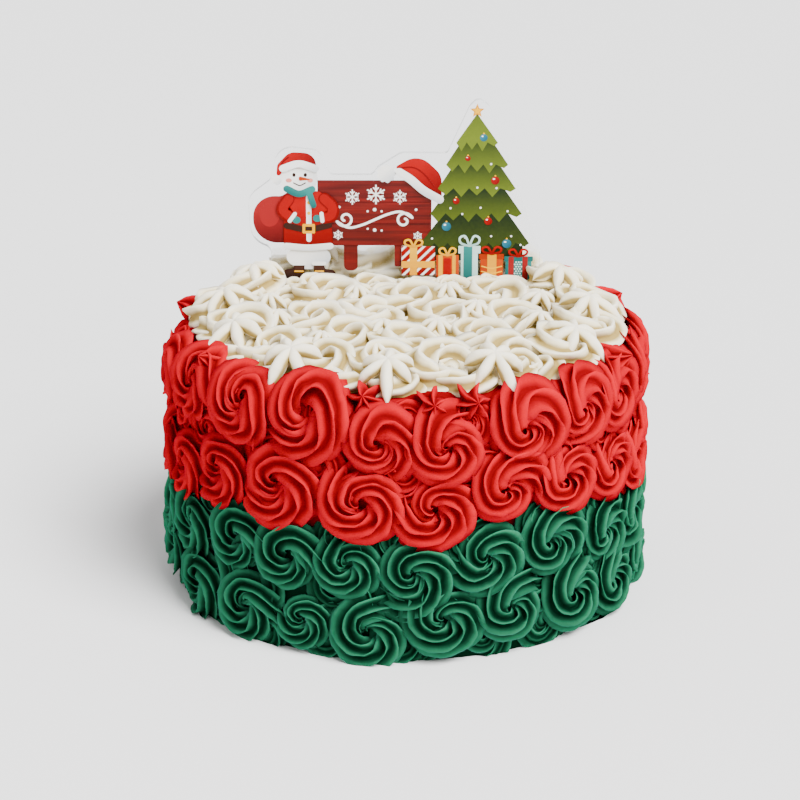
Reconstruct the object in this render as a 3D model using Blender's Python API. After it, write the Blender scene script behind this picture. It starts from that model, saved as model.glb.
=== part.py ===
"""A round Christmas cake in three colours of piped buttercream roses, under a clear printed topper.

Millimetres times MM give metres. +Z is up, the front of the cake faces -Y, and the origin is
the middle of the flat base. An azimuth is counted from the front, positive to the right. A
climb is the way up the wall, over the rounded rim and in across the top.
"""
import math
import random
from collections import namedtuple

import bmesh
import bpy
from mathutils import Vector
from mathutils.geometry import delaunay_2d_cdt

MM = 0.001
GAP = 0.3 * MM                   # clearance kept between pieces that touch

# The iced cake under its roses
WALL_RADIUS = 101 * MM
TOP_HEIGHT = 117 * MM
RIM_ROUND = 12 * MM
STRAIGHT = TOP_HEIGHT - RIM_ROUND
FLAT_RADIUS = WALL_RADIUS - RIM_ROUND
RIM_CLIMB = STRAIGHT + RIM_ROUND * math.pi / 2
GREEN_HEIGHT = 55 * MM           # the green icing's middle ends here, the red begins
WHITE_FLOOR = 106 * MM           # the underside of the white icing's middle
EDGE_STEPS = 120                 # points round the lobed edge between two colours
BASE_STEPS = 72                  # points round the base
BARE = 0.5 * MM                  # how far the icing between the roses stands proud
BASE_CLEAR = 2.5 * MM            # the lowest piping points stay this far above the base
SAME_POINT = 0.001 * MM
ROSE_PROUD = 6 * MM              # the lobed edge between red and green is true this far out
EDGE_GAP = 0.6 * MM              # between the red and the green, measured upright
OUTSIDE = 130 * MM               # the cutting solids end clear of the cake
SKY = 160 * MM

# Piped shapes: rings of share of radius and share of height, then the ridge and groove points
RIDGES = 6
Kind = namedtuple("Kind", "rings columns swirl groove")
ROSE = Kind(rings=((0, 0.3), (0.26, 0.9), (0.56, 1.0), (0.86, 0.42), (1, 0)),
            columns=((0.26, 6), (0.56, 12), (0.86, 12)), swirl=1.1, groove=2.8 * MM)
STAR = Kind(rings=((0, 1.0), (0.55, 0.52), (0.95, 0.15), (1, 0)),
            columns=((0.5, 12), (0.95, 6)), swirl=0.25, groove=1.4 * MM)
Piped = namedtuple("Piped", "kind azimuth climb middle side up radius rise spin lean")
VALLEY_SPACING = 6 * MM          # between points along the crease of two roses

# Roses seen from the front, by row: azimuth in degrees, height, radius and rise in mm
GREEN_LOWER = (
    (-60, 15, 18, 7.5), (-41, 14, 17.5, 8), (-25, 16, 14, 6.5), (-8, 13, 18, 8),
    (9.5, 20, 18.5, 8), (26, 21, 18.5, 8), (45, 20, 19, 8), (62, 16, 18, 7.5),
)
GREEN_UPPER = (
    (-62, 45, 18, 7.5), (-44, 45, 17.5, 7.5), (-29, 46, 19.5, 8.5), (-13, 44, 16, 7),
    (2, 43, 18, 8), (18.5, 46, 18, 8), (37, 47, 19.5, 8.5), (56, 44, 18, 8),
)
RED_LOWER = (
    (-66, 71, 18, 8), (-50, 76, 18, 8), (-31, 77, 20.5, 9), (-10, 73, 19, 8),
    (7, 71, 19, 8.5), (24.5, 77, 19.5, 8.5), (42, 73, 18, 8), (59, 76, 17.5, 8),
)
RED_UPPER = (
    (-62, 106, 19, 8), (-42, 108, 19, 8.5), (-22, 110, 21, 9), (-5.5, 100, 17, 7.5),
    (10, 98, 19, 8), (28.5, 103, 19.5, 8.5), (46, 105, 18, 8), (62, 105, 18, 8),
)
ROSES_ROUND = 20                 # roses in a whole row

# White roses: azimuth in degrees, distance from the middle and radius in mm, outward lean
WHITE_FRONT = (
    (-74, 77, 17, 14), (-52, 73, 15, 14), (-31, 69, 18, 15), (-9, 67, 15.5, 12),
    (12, 70, 17, 16), (36, 74, 17.5, 16), (57, 80, 16, 14), (79, 81, 16.5, 12),
)
WHITE_ROUND = 16                 # roses in the outer white ring
WHITE_RINGS = ((9, 44 * MM, 18 * MM), (3, 17 * MM, 18.5 * MM))
WHITE_RISE = 7.5 * MM

# Star drops: azimuth in degrees, climb, radius and rise in mm
RED_STARS = ((-12.5, 121, 7.5, 7), (4.5, 120, 8, 7), (18.5, 121, 7.5, 7))
RED_STARS_ROUND = 9
WHITE_STARS = ((-43, 131, 9, 9), (-6, 129, 10, 9.5), (24, 130, 9.5, 9), (67, 132, 9, 9))
WHITE_STARS_ROUND = 10
LOBE_SHARE = 0.96                # a colour's edge runs just inside its outermost roses
GREEN_EDGE_HIGH = 66 * MM        # where no red rose hangs over the green
WHITE_EDGE_NEAR = 80 * MM        # where no white rose reaches over the rim

# The clear topper, in a plane that faces the front; x is across, z is up
TOPPER_Y = 55 * MM
TOPPER_THICK = 3.0 * MM
TOPPER_FOOT = 110.5              # mm, sunk in the white icing
TOPPER_FOOT_HALF = 54            # mm, half the width of the sunk foot
TOPPER_SHOULDER = 118.5          # mm, where the plate widens above the icing
TOPPER_HALF = 62                 # mm
PRINT_THICK = 0.3 * MM
PRINT_LAYERS = 4
PRINT_LOWEST = 120               # mm, the print stays above this
ARC_STEPS = 3

random_draw = random.Random(25)


# Scene and materials

def clear_scene():
    """Start from an empty file."""
    for item in list(bpy.data.objects):
        bpy.data.objects.remove(item)


def make_material(name, colour, roughness, alpha=1.0):
    """A plain Principled finish in one colour."""
    material = bpy.data.materials.new(name)
    material.use_nodes = True
    shader = material.node_tree.nodes["Principled BSDF"]
    shader.inputs["Base Color"].default_value = (*colour, 1.0)
    shader.inputs["Roughness"].default_value = roughness
    shader.inputs["Metallic"].default_value = 0.0
    shader.inputs["Alpha"].default_value = alpha
    return material


def make_collection(name):
    """A collection under the scene's own."""
    collection = bpy.data.collections.new(name)
    bpy.context.scene.collection.children.link(collection)
    return collection


def object_from_bmesh(name, shape, collection):
    """Put a finished bmesh in the collection as an object."""
    bmesh.ops.triangulate(shape, faces=shape.faces)
    mesh = bpy.data.meshes.new(name)
    shape.to_mesh(mesh)
    item = bpy.data.objects.new(name, mesh)
    collection.objects.link(item)
    return item


# The icing's surface, and the same surface spread out flat

def wall_point(azimuth, climb, proud):
    """A point on the icing, or proud of it."""
    if climb <= STRAIGHT:
        lean, radius, height = 0.0, WALL_RADIUS, climb
    elif climb < RIM_CLIMB:
        lean = (climb - STRAIGHT) / RIM_ROUND
        radius = FLAT_RADIUS + RIM_ROUND * math.cos(lean)
        height = STRAIGHT + RIM_ROUND * math.sin(lean)
    else:
        lean, height = math.pi / 2, TOP_HEIGHT
        radius = FLAT_RADIUS - (climb - RIM_CLIMB)
    radius += proud * math.cos(lean)
    height += proud * math.sin(lean)
    return Vector((radius * math.sin(azimuth), -radius * math.cos(azimuth), height))


def unroll(azimuth, climb):
    """A point of the flat spread: the top as it is, and the wall round it, widening outwards."""
    if climb >= RIM_CLIMB:
        spread = FLAT_RADIUS + RIM_CLIMB - climb
    else:
        spread = FLAT_RADIUS * math.exp((RIM_CLIMB - climb) / WALL_RADIUS)
    return Vector((spread * math.sin(azimuth), -spread * math.cos(azimuth)))


def roll_up(flat):
    """Azimuth and climb of a point of the flat spread."""
    spread = flat.length
    if spread <= FLAT_RADIUS:
        climb = RIM_CLIMB + FLAT_RADIUS - spread
    else:
        climb = RIM_CLIMB - WALL_RADIUS * math.log(spread / FLAT_RADIUS)
    return math.atan2(flat.x, -flat.y), climb


# Piped roses and star drops

def piped(kind, azimuth, climb, radius, rise, lean=0.0):
    """One rose or star drop, with its middle, its own directions and a turn drawn by chance."""
    middle = wall_point(azimuth, climb, 0)
    side = Vector((math.cos(azimuth), math.sin(azimuth), 0))
    outward = (wall_point(azimuth, climb, MM) - middle) / MM
    spin = random_draw.uniform(0, 2 * math.pi)
    return Piped(kind, azimuth, climb, middle, side, outward.cross(side), radius, rise, spin,
                 math.tan(math.radians(lean)))


def ring_height(kind, share):
    """Share of the height at a share of the radius, in straight lines from ring to ring."""
    for (inner, high), (outer, low) in zip(kind.rings, kind.rings[1:]):
        if share <= outer:
            return high + (low - high) * (share - inner) / (outer - inner)
    return 0.0


def height_on(blob, point):
    """How far a rose stands proud at a point of the icing, or None outside it."""
    offset = point - blob.middle
    share = offset.length / blob.radius
    if share >= 1:
        return None
    across, up = offset.dot(blob.side), offset.dot(blob.up)
    turn = math.atan2(up, across) - blob.spin - blob.kind.swirl * math.acos(share)
    groove = 0.5 - 0.5 * math.cos(RIDGES * turn)
    depth = blob.kind.groove * min(1.0, share / 0.4)
    return blob.rise * ring_height(blob.kind, share) - depth * groove + blob.lean * up


def highest(blobs, azimuth, climb):
    """The rose that stands tallest at a place, and its height; bare icing has no owner."""
    point = wall_point(azimuth, climb, 0)
    owner, best = None, BARE
    for blob in blobs:
        if abs(point.x - blob.middle.x) < blob.radius and abs(point.y - blob.middle.y) < blob.radius:
            proud = height_on(blob, point)
            if proud is not None and proud > best:
                owner, best = blob, proud
    return owner, best


def whole_row(front, count):
    """The seen roses of a row, and the rest of the row round the back by the same measure."""
    first, last = front[0], front[-1]
    left = count - len(front)
    step = (360 - (last[0] - first[0])) / (left + 1)
    row = list(front)
    for place in range(1, left + 1):
        like = front[place % len(front)]
        row.append((last[0] + step * place + random_draw.uniform(-1.5, 1.5), *like[1:]))
    return row


def wall_piping(kind, front, count):
    """A whole row of roses or star drops on the wall and the rim."""
    return [piped(kind, math.radians(azimuth), climb * MM, radius * MM, rise * MM)
            for azimuth, climb, radius, rise in whole_row(front, count)]


def top_rose(azimuth, distance, radius, lean=0.0):
    """One white rose on the top."""
    return piped(ROSE, math.radians(azimuth), RIM_CLIMB + FLAT_RADIUS - distance, radius,
                 WHITE_RISE, lean)


def white_piping():
    """The white top: a leaning outer ring, its star drops, a middle ring and an inner ring."""
    blobs = [top_rose(azimuth, distance * MM, radius * MM, lean)
             for azimuth, distance, radius, lean in whole_row(WHITE_FRONT, WHITE_ROUND)]
    for ring, (count, distance, radius) in enumerate(WHITE_RINGS):
        for number in range(count):
            azimuth = 360 * (number + 0.5 * ring) / count + random_draw.uniform(-4, 4)
            blobs.append(top_rose(azimuth, distance, radius))
    return blobs + wall_piping(STAR, WHITE_STARS, WHITE_STARS_ROUND)


# The cake as one closed surface

def ring_places(blob):
    """Azimuth and climb of a rose's middle and of its ridges and grooves, and the lines on them."""
    places, lines = [(blob.azimuth, blob.climb)], []
    distance = math.hypot(blob.middle.x, blob.middle.y)
    inner_start, inner_columns = 0, 1
    for share, columns in blob.kind.columns:
        start = len(places)
        for column in range(columns):
            turn = blob.spin + blob.kind.swirl * math.acos(share) + 2 * math.pi * column / columns
            across = blob.radius * share * math.cos(turn)
            up = blob.radius * share * math.sin(turn)
            if distance > FLAT_RADIUS - 8 * MM:
                places.append((blob.azimuth + across / distance, blob.climb + up))
            else:
                point = blob.middle + across * blob.side + up * blob.up
                places.append(roll_up(point.xy))
            if column * inner_columns % columns == 0:
                lines.append((inner_start + column * inner_columns // columns, start + column))
        inner_start, inner_columns = start, columns
    return places, lines


def valley_places(first, second):
    """Azimuth and climb of points along the crease where two roses meet."""
    gap = (second.middle - first.middle).length
    if gap >= first.radius + second.radius:
        return []
    share = 0.5 + (first.radius ** 2 - second.radius ** 2) / (2 * gap ** 2)
    half = math.sqrt(max(0.0, first.radius ** 2 - (share * gap) ** 2))
    start, end = unroll(first.azimuth, first.climb), unroll(second.azimuth, second.climb)
    along = Vector((start.y - end.y, end.x - start.x)) / gap
    count = max(1, round(2 * half / VALLEY_SPACING))
    return [roll_up(start.lerp(end, share) + along * half * (2 * (i + 0.5) / count - 1))
            for i in range(count)]


def make_skin(blobs):
    """The cake's skin over all its piping, closed by the flat base."""
    places = [(2 * math.pi * i / BASE_STEPS, 0.0) for i in range(BASE_STEPS)]
    lines = []
    for blob in blobs:
        kept = {}
        ring, ridges = ring_places(blob)
        for number, place in enumerate(ring):
            if place[1] > BASE_CLEAR and highest(blobs, *place)[0] in (blob, None):
                kept[number] = len(places)
                places.append(place)
        lines += [(kept[start], kept[end]) for start, end in ridges
                  if start in kept and end in kept]
    for number, first in enumerate(blobs):
        for second in blobs[number + 1:]:
            places += [place for place in valley_places(first, second) if place[1] > BASE_CLEAR
                       and highest(blobs, *place)[0] in (first, second, None)]
    flats, _, faces, _, _, _ = delaunay_2d_cdt([unroll(*place) for place in places], lines, [], 0,
                                               SAME_POINT)
    corners = []
    for flat in flats:
        azimuth, climb = roll_up(flat)
        if climb < BASE_CLEAR / 2:
            climb = 0.0
        corners.append(wall_point(azimuth, climb, highest(blobs, azimuth, climb)[1]))
    mesh = bpy.data.meshes.new("skin")
    mesh.from_pydata(corners, [], faces)
    shape = bmesh.new()
    shape.from_mesh(mesh)
    bmesh.ops.holes_fill(shape, edges=shape.edges, sides=0)
    bmesh.ops.recalc_face_normals(shape, faces=shape.faces)
    return shape


# The solids that part the cake into its colours

def green_edge(azimuth, red_roses):
    """Height at which the red icing ends over the green."""
    edge = GREEN_EDGE_HIGH
    for rose in red_roses:
        turn = (azimuth - rose.azimuth + math.pi) % (2 * math.pi) - math.pi
        across, reach = turn * WALL_RADIUS, rose.radius * LOBE_SHARE
        if abs(across) < reach:
            edge = min(edge, rose.climb - math.sqrt(reach ** 2 - across ** 2))
    return edge


def white_edge(azimuth, white_blobs):
    """Distance from the middle at which the white icing ends over the red."""
    edge = WHITE_EDGE_NEAR
    outward = Vector((math.sin(azimuth), -math.cos(azimuth), 0))
    for blob in white_blobs:
        along, reach = blob.middle.dot(outward), blob.radius * LOBE_SHARE
        aside = outward.cross(blob.middle.xy.to_3d()).length
        if aside < reach:
            edge = max(edge, along + math.sqrt(reach ** 2 - aside ** 2))
    return edge


def drum(name, lower, upper, collection):
    """A solid round the axis between two lobed rims, each a list of points, and their hubs."""
    shape = bmesh.new()
    hubs = [shape.verts.new((0, 0, hub)) for hub, rim in (lower, upper)]
    rims = [[shape.verts.new(point) for point in rim] for hub, rim in (lower, upper)]
    for i in range(EDGE_STEPS):
        after = (i + 1) % EDGE_STEPS
        shape.faces.new((hubs[0], rims[0][after], rims[0][i]))
        shape.faces.new((hubs[1], rims[1][i], rims[1][after]))
        shape.faces.new((rims[0][i], rims[0][after], rims[1][after], rims[1][i]))
    return object_from_bmesh(name, shape, collection)


def rim_round(distance_at, height_at):
    """Points all round the axis at a distance and a height that depend on the azimuth."""
    points = []
    for step in range(EDGE_STEPS):
        azimuth = 2 * math.pi * step / EDGE_STEPS
        distance = distance_at(azimuth)
        points.append((distance * math.sin(azimuth), -distance * math.cos(azimuth),
                       height_at(azimuth)))
    return points


def box(name, low, high, collection):
    """A plain block between two corners."""
    shape = bmesh.new()
    bmesh.ops.create_cube(shape, size=1)
    for corner in shape.verts:
        corner.co = Vector((high[i] if corner.co[i] > 0 else low[i]) for i in range(3))
    return object_from_bmesh(name, shape, collection)


def make_slot(collection):
    """The slot that the topper stands in: its sunk foot, the wider plate and its print."""
    far = TOPPER_Y + TOPPER_THICK / 2 + GAP
    face = TOPPER_Y - TOPPER_THICK / 2 - GAP
    return [box("slot", (-half * MM - GAP, near, bottom * MM - GAP),
                (half * MM + GAP, far, SKY), collection)
            for half, bottom, near in (
                (TOPPER_FOOT_HALF, TOPPER_FOOT, face),
                (TOPPER_HALF, TOPPER_SHOULDER, face),
                (TOPPER_HALF, PRINT_LOWEST, layer_depth(PRINT_LAYERS - 1) - GAP))]


def under_edge(name, red_roses, offset, collection):
    """All that lies under the lobed edge of the red icing, moved up by an offset."""
    def edge_height(azimuth):
        rise = green_edge(azimuth, red_roses) - GREEN_HEIGHT
        return GREEN_HEIGHT + offset + rise * OUTSIDE / (WALL_RADIUS + ROSE_PROUD)
    lower = (-SKY, rim_round(lambda azimuth: OUTSIDE, lambda azimuth: -SKY))
    upper = (GREEN_HEIGHT + offset, rim_round(lambda azimuth: OUTSIDE, edge_height))
    return drum(name, lower, upper, collection)


def white_plug(name, white_blobs, grow, collection):
    """All that lies inside the lobed edge of the white icing, grown all round."""
    def distance(azimuth):
        return white_edge(azimuth, white_blobs) + grow
    floor = WHITE_FLOOR - grow
    return drum(name, (floor, rim_round(distance, lambda azimuth: floor)),
                (SKY, rim_round(distance, lambda azimuth: SKY)), collection)


def cut(item, cutter, operation):
    """Cut a part by one solid and flatten the result."""
    boolean = item.modifiers.new(operation.lower(), "BOOLEAN")
    boolean.operation = operation
    boolean.solver = "MANIFOLD"
    boolean.object = cutter
    graph = bpy.context.evaluated_depsgraph_get()
    mesh = bpy.data.meshes.new_from_object(item.evaluated_get(graph))
    item.modifiers.clear()
    item.data = mesh


def keep_largest_shell(item):
    """Drop loose scraps, which are shells of their own."""
    shape = bmesh.new()
    shape.from_mesh(item.data)
    unseen = set(shape.verts)
    shells = []
    while unseen:
        shell, waiting = set(), [unseen.pop()]
        while waiting:
            corner = waiting.pop()
            shell.add(corner)
            for edge in corner.link_edges:
                other = edge.other_vert(corner)
                if other in unseen:
                    unseen.remove(other)
                    waiting.append(other)
        shells.append(shell)
    shells.sort(key=len)
    scraps = [corner for shell in shells[:-1] for corner in shell]
    bmesh.ops.delete(shape, geom=scraps, context="VERTS")
    shape.to_mesh(item.data)


def make_icing(parts):
    """The three bands of icing, cut from one skin along their lobed edges."""
    red_low = wall_piping(ROSE, RED_LOWER, ROSES_ROUND)
    red_high = wall_piping(ROSE, RED_UPPER, ROSES_ROUND)
    red_stars = wall_piping(STAR, RED_STARS, RED_STARS_ROUND)
    white_blobs = white_piping()
    green_roses = (wall_piping(ROSE, GREEN_LOWER, ROSES_ROUND)
                   + wall_piping(ROSE, GREEN_UPPER, ROSES_ROUND))
    skin = make_skin(green_roses + red_low + red_high + red_stars + white_blobs)

    cutters = make_collection("cutters")
    slot = make_slot(cutters)
    below_gap = under_edge("below the gap", red_low, -EDGE_GAP / 2, cutters)
    above_gap = under_edge("above the gap", red_low, EDGE_GAP / 2, cutters)
    plug = white_plug("plug", white_blobs, 0.0, cutters)
    plug_room = white_plug("room for the plug", white_blobs, GAP, cutters)

    for name, colour, roughness, steps in (
            ("icing_green_band", (0.01, 0.12, 0.07), 0.4, (("INTERSECT", below_gap),)),
            ("icing_red_band", (0.62, 0.02, 0.015), 0.4,
             (("DIFFERENCE", above_gap), ("DIFFERENCE", plug_room),
              *(("DIFFERENCE", block) for block in slot))),
            ("icing_white_top", (0.80, 0.76, 0.66), 0.5,
             (("INTERSECT", plug), *(("DIFFERENCE", block) for block in slot)))):
        band = object_from_bmesh(name, skin, parts)
        for operation, cutter in steps:
            cut(band, cutter, operation)
        keep_largest_shell(band)
        band.data.materials.clear()
        band.data.materials.append(make_material(name, colour, roughness))

    for cutter in list(cutters.objects):
        bpy.data.objects.remove(cutter)
    bpy.data.collections.remove(cutters)


# The topper: closed outlines as corners of x, z and rounding, all in mm

TOPPER_OUTLINE = (
    (-TOPPER_FOOT_HALF, TOPPER_FOOT, 2), (TOPPER_FOOT_HALF, TOPPER_FOOT, 2),
    (TOPPER_FOOT_HALF, TOPPER_SHOULDER, 0), (TOPPER_HALF, TOPPER_SHOULDER, 1.5),
    (TOPPER_HALF, 134, 6), (38, 203, 3), (33, 207, 3), (29, 203, 3), (19, 180.8, 2),
    (-2, 181, 6), (-13, 174, 4), (-15, 170.5, 3), (-35, 170.5, 3), (-39, 182, 7), (-58, 184, 8),
    (-62, 168, 3), (-72.5, 160, 9), (-71, 138, 10), (-TOPPER_HALF, 136, 4),
    (-TOPPER_HALF, TOPPER_SHOULDER, 1.5), (-TOPPER_FOOT_HALF, TOPPER_SHOULDER, 0),
)
SIGN_OUTLINE = (
    (-39, 137, 0), (-28.4, 137, 0.6), (-28.4, 125, 2.6), (-22, 125, 2.6), (-22, 137, 0.6),
    (-5, 137, 0.6), (-5, 127, 0.8), (-1.9, 127, 0.8), (-1.9, 137, 0), (12, 137, 4),
    (12, 168, 6), (-39, 168, 0),
)
TREE_TIERS = (                   # height of a tier's foot, its left end and its right end
    (185, 24.5, 42), (174.5, 19.5, 47), (163, 16.5, 51), (151.5, 13, 53.5), (137, 8, 57),
)
NOTCH_IN, NOTCH_UP = 4.5, 1.5    # how far in and up from a tier's end the next one starts
TREE_SPIKES = 8                  # along the lowest tier's foot
TREE_TIP = (33, 199)
HAT_OUTLINE = ((16.5, 161.5, 0), (14.5, 174, 8), (2, 179.5, 8), (-4, 173, 1))
BRIM_OUTLINE = ((-4, 174.2, 1.5), (-4.6, 170.8, 1.5), (3.5, 165.2, 6), (16.5, 156.5, 1.5),
                (17.6, 160.2, 1.5), (5.5, 168.5, 6))
COAT_OUTLINE = ((-56, 136, 3), (-33.5, 136, 3), (-34.5, 152, 4), (-38.5, 162.5, 4),
                (-52.5, 162.5, 4), (-55.5, 152, 4))
CAP_OUTLINE = ((-57, 174.5, 1), (-40.5, 174.5, 1), (-42, 181.5, 6), (-55.5, 181.5, 6))
SNOW_OUTLINE = ((-54.5, 126.5, 6), (-35, 126.5, 6), (-35, 136.2, 0), (-54.5, 136.2, 0))
BOOT_OUTLINE = ((0, 120.8, 2), (9, 120.8, 2), (9, 126.2, 2), (0, 126.2, 2))
BOOT_LEFT_ENDS = (-55.5, -43)
GIFTS = (                        # left, right, bottom and top
    (-1.5, 13.8, 123, 137), (14.8, 24.6, 122, 133), (25.2, 33.9, 121, 138),
    (34.7, 45.2, 122, 133.5), (46.2, 58.6, 120.8, 132.5),
)


def rounded_line(corners):
    """A closed line through corners of x, z and rounding radius."""
    line = []
    for number, (x, z, rounding) in enumerate(corners):
        here = Vector((x, z))
        before = (Vector(corners[number - 1][:2]) - here).normalized()
        after = (Vector(corners[(number + 1) % len(corners)][:2]) - here).normalized()
        half = before.angle(after) / 2
        if rounding == 0 or half > 1.5:
            line.append(here)
            continue
        middle = here + (before + after).normalized() * rounding / math.sin(half)
        start = here + before * rounding / math.tan(half) - middle
        turn = math.copysign(math.pi - 2 * half, start.cross(here - middle))
        for step in range(ARC_STEPS + 1):
            angle = turn * step / ARC_STEPS
            line.append(middle + Vector((start.x * math.cos(angle) - start.y * math.sin(angle),
                                         start.x * math.sin(angle) + start.y * math.cos(angle))))
    return line


def round_line(x, z, width, height, steps=16):
    """A closed oval line."""
    return [Vector((x + width * math.cos(2 * math.pi * i / steps),
                    z + height * math.sin(2 * math.pi * i / steps))) for i in range(steps)]


def tree_line():
    """The fir's stepped silhouette, with spikes along its lowest foot."""
    right, left = [], []
    for bottom, left_end, right_end in TREE_TIERS[:-1]:
        right += [Vector((right_end, bottom)), Vector((right_end - NOTCH_IN, bottom + NOTCH_UP))]
        left += [Vector((left_end, bottom)), Vector((left_end + NOTCH_IN, bottom + NOTCH_UP))]
    bottom, left_end, right_end = TREE_TIERS[-1]
    step = (right_end - left_end) / TREE_SPIKES
    foot = [Vector((right_end, bottom))]
    for spike in range(1, TREE_SPIKES):
        foot.append(Vector((right_end - step * (spike - 0.5), bottom + 1.5)))
        foot.append(Vector((right_end - step * spike, bottom - 1.5)))
    foot.append(Vector((left_end + step / 2, bottom + 1.5)))
    foot.append(Vector((left_end, bottom)))
    return [Vector(TREE_TIP)] + right + foot + left[::-1]


def star_line(x, z, outer, inner, points=5):
    """A small pointed star."""
    line = []
    for step in range(2 * points):
        reach = outer if step % 2 == 0 else inner
        angle = math.pi / 2 + step * math.pi / points
        line.append(Vector((x + reach * math.cos(angle), z + reach * math.sin(angle))))
    return line


def flat_piece(name, line, depth, thickness, material, parts):
    """A flat plate with the given outline, in mm, standing upright at a depth, in metres."""
    curve = bpy.data.curves.new(name, "CURVE")
    curve.dimensions = "2D"
    curve.fill_mode = "BOTH"
    curve.extrude = thickness / 2
    spline = curve.splines.new("POLY")
    spline.points.add(len(line) - 1)
    for point, corner in zip(spline.points, line):
        point.co = (corner.x * MM, corner.y * MM, 0, 1)
    spline.use_cyclic_u = True
    curve.materials.append(material)
    item = bpy.data.objects.new(name, curve)
    item.location = (0, depth, 0)
    item.rotation_euler = (math.pi / 2, 0, 0)
    parts.objects.link(item)
    return item


def layer_depth(layer):
    """Middle of a printed layer: each lies a gap in front of the one under it."""
    return TOPPER_Y - TOPPER_THICK / 2 - (layer + 0.5) * PRINT_THICK - (layer + 1) * GAP


def printed(name, line, layer, material, parts):
    """One field of the print."""
    return flat_piece(name, line, layer_depth(layer), PRINT_THICK, material, parts)


def make_topper(parts):
    """The clear plate and the fields of its print."""
    clear = make_material("clear acrylic", (0.92, 0.94, 0.95), 0.05, 0.35)
    plank = make_material("plank red ink", (0.36, 0.03, 0.03), 0.35)
    red = make_material("bright red ink", (0.75, 0.03, 0.02), 0.35)
    dark_red = make_material("sack red ink", (0.40, 0.03, 0.03), 0.35)
    fir = make_material("fir green ink", (0.10, 0.25, 0.06), 0.35)
    gold = make_material("gold ink", (0.85, 0.48, 0.05), 0.35)
    snow = make_material("snow white ink", (0.85, 0.85, 0.83), 0.35)
    brown = make_material("boot brown ink", (0.08, 0.03, 0.02), 0.35)
    orange = make_material("orange ink", (0.85, 0.22, 0.02), 0.35)
    teal = make_material("teal ink", (0.03, 0.30, 0.28), 0.35)

    flat_piece("topper_plate", rounded_line(TOPPER_OUTLINE), TOPPER_Y, TOPPER_THICK, clear, parts)
    printed("print_sack", round_line(-57, 149.5, 12.6, 11.2), 0, dark_red, parts)
    printed("print_sign", rounded_line(SIGN_OUTLINE), 0, plank, parts)
    printed("print_coat", rounded_line(COAT_OUTLINE), 1, red, parts)
    printed("print_tree", tree_line(), 1, fir, parts)
    printed("print_hat", rounded_line(HAT_OUTLINE), 1, red, parts)
    printed("print_snow_base", rounded_line(SNOW_OUTLINE), 0, snow, parts)
    for number, left in enumerate(BOOT_LEFT_ENDS, 1):
        outline = [(x + left, z, rounding) for x, z, rounding in BOOT_OUTLINE]
        printed(f"print_boot_{number}", rounded_line(outline), 1, brown, parts)
    printed("print_head", round_line(-48.7, 169.6, 8.4, 8.0), 2, snow, parts)
    printed("print_cap", rounded_line(CAP_OUTLINE), 3, red, parts)
    printed("print_brim", rounded_line(BRIM_OUTLINE), 2, snow, parts)
    printed("print_bobble", round_line(-9.2, 171.6, 4.2, 4.2, 12), 2, snow, parts)
    printed("print_star", star_line(TREE_TIP[0], 200.5, 3.4, 1.5), 2, gold, parts)
    for number, (left, right, bottom, top) in enumerate(GIFTS, 1):
        outline = ((left, bottom, 0.8), (right, bottom, 0.8), (right, top, 0.8), (left, top, 0.8))
        printed(f"print_gift_{number}", rounded_line(outline), 2,
                (red, orange, teal, orange, teal)[number - 1], parts)


clear_scene()
cake = make_collection("christmas cake")
make_icing(cake)
make_topper(cake)
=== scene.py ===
"""A round Christmas cake in green, red and ivory piped buttercream roses, with a clear topper."""
import math
import random

import bmesh
import bpy
from mathutils import Matrix, Vector


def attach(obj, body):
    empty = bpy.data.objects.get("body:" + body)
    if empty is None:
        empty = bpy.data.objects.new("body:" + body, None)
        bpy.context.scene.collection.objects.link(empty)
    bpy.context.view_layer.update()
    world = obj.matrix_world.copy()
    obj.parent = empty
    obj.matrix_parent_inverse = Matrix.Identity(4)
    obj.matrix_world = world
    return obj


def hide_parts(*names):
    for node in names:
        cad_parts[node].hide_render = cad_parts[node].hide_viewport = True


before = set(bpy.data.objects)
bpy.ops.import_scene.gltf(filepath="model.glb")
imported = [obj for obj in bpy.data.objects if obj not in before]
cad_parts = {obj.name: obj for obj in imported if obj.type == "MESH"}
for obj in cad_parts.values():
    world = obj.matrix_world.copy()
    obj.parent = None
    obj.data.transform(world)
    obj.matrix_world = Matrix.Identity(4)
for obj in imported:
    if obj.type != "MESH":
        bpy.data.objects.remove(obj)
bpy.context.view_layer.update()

# The studio
# A plain pale floor, a pale surround and three soft lights. The camera has a long lens and stands
# a little above the cake.
MM = 0.001
SIGHT = Vector((-0.0024, 0, 0.08086))    # what the camera and the panels look at
CAMERA_DISTANCE = 1.300
CAMERA_HEIGHT_DEG = 20.66
CAMERA_ROLL_DEG = 0.1
LENS_MM = 129.8
SENSOR_MM = 36
FLOOR_REACH = 6
SURROUND_POWER = 0.74
SUN_LINE = Vector((-0.50, 0.55, -1.0))
SUN_POWER = 8.6
SUN_SPREAD_DEG = 35
PANELS = (                               # name, place, size and power
    ("key", (0.8, -1.2, 0.8), 0.35, 9),
    ("fill", (-1.2, -1.0, 0.6), 0.6, 5),
)


def add_object(name, data):
    """An object in the scene, at the origin."""
    item = bpy.data.objects.new(name, data)
    bpy.context.scene.collection.objects.link(item)
    return item


def aim(item, place, line, roll=0.0):
    """Stand a camera or a light at a place, turn it along a line and roll it a little."""
    item.location = place
    look = line.to_track_quat("-Z", "Y").to_matrix()
    item.rotation_euler = (look @ Matrix.Rotation(roll, 3, "Z")).to_euler()


def fill(tree, item, inputs):
    """Link or set the inputs of a node, in order or by name; None is skipped."""
    for place, value in inputs.items() if isinstance(inputs, dict) else enumerate(inputs):
        if isinstance(value, bpy.types.NodeSocket):
            tree.links.new(value, item.inputs[place])
        elif value is not None:
            item.inputs[place].default_value = value


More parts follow.
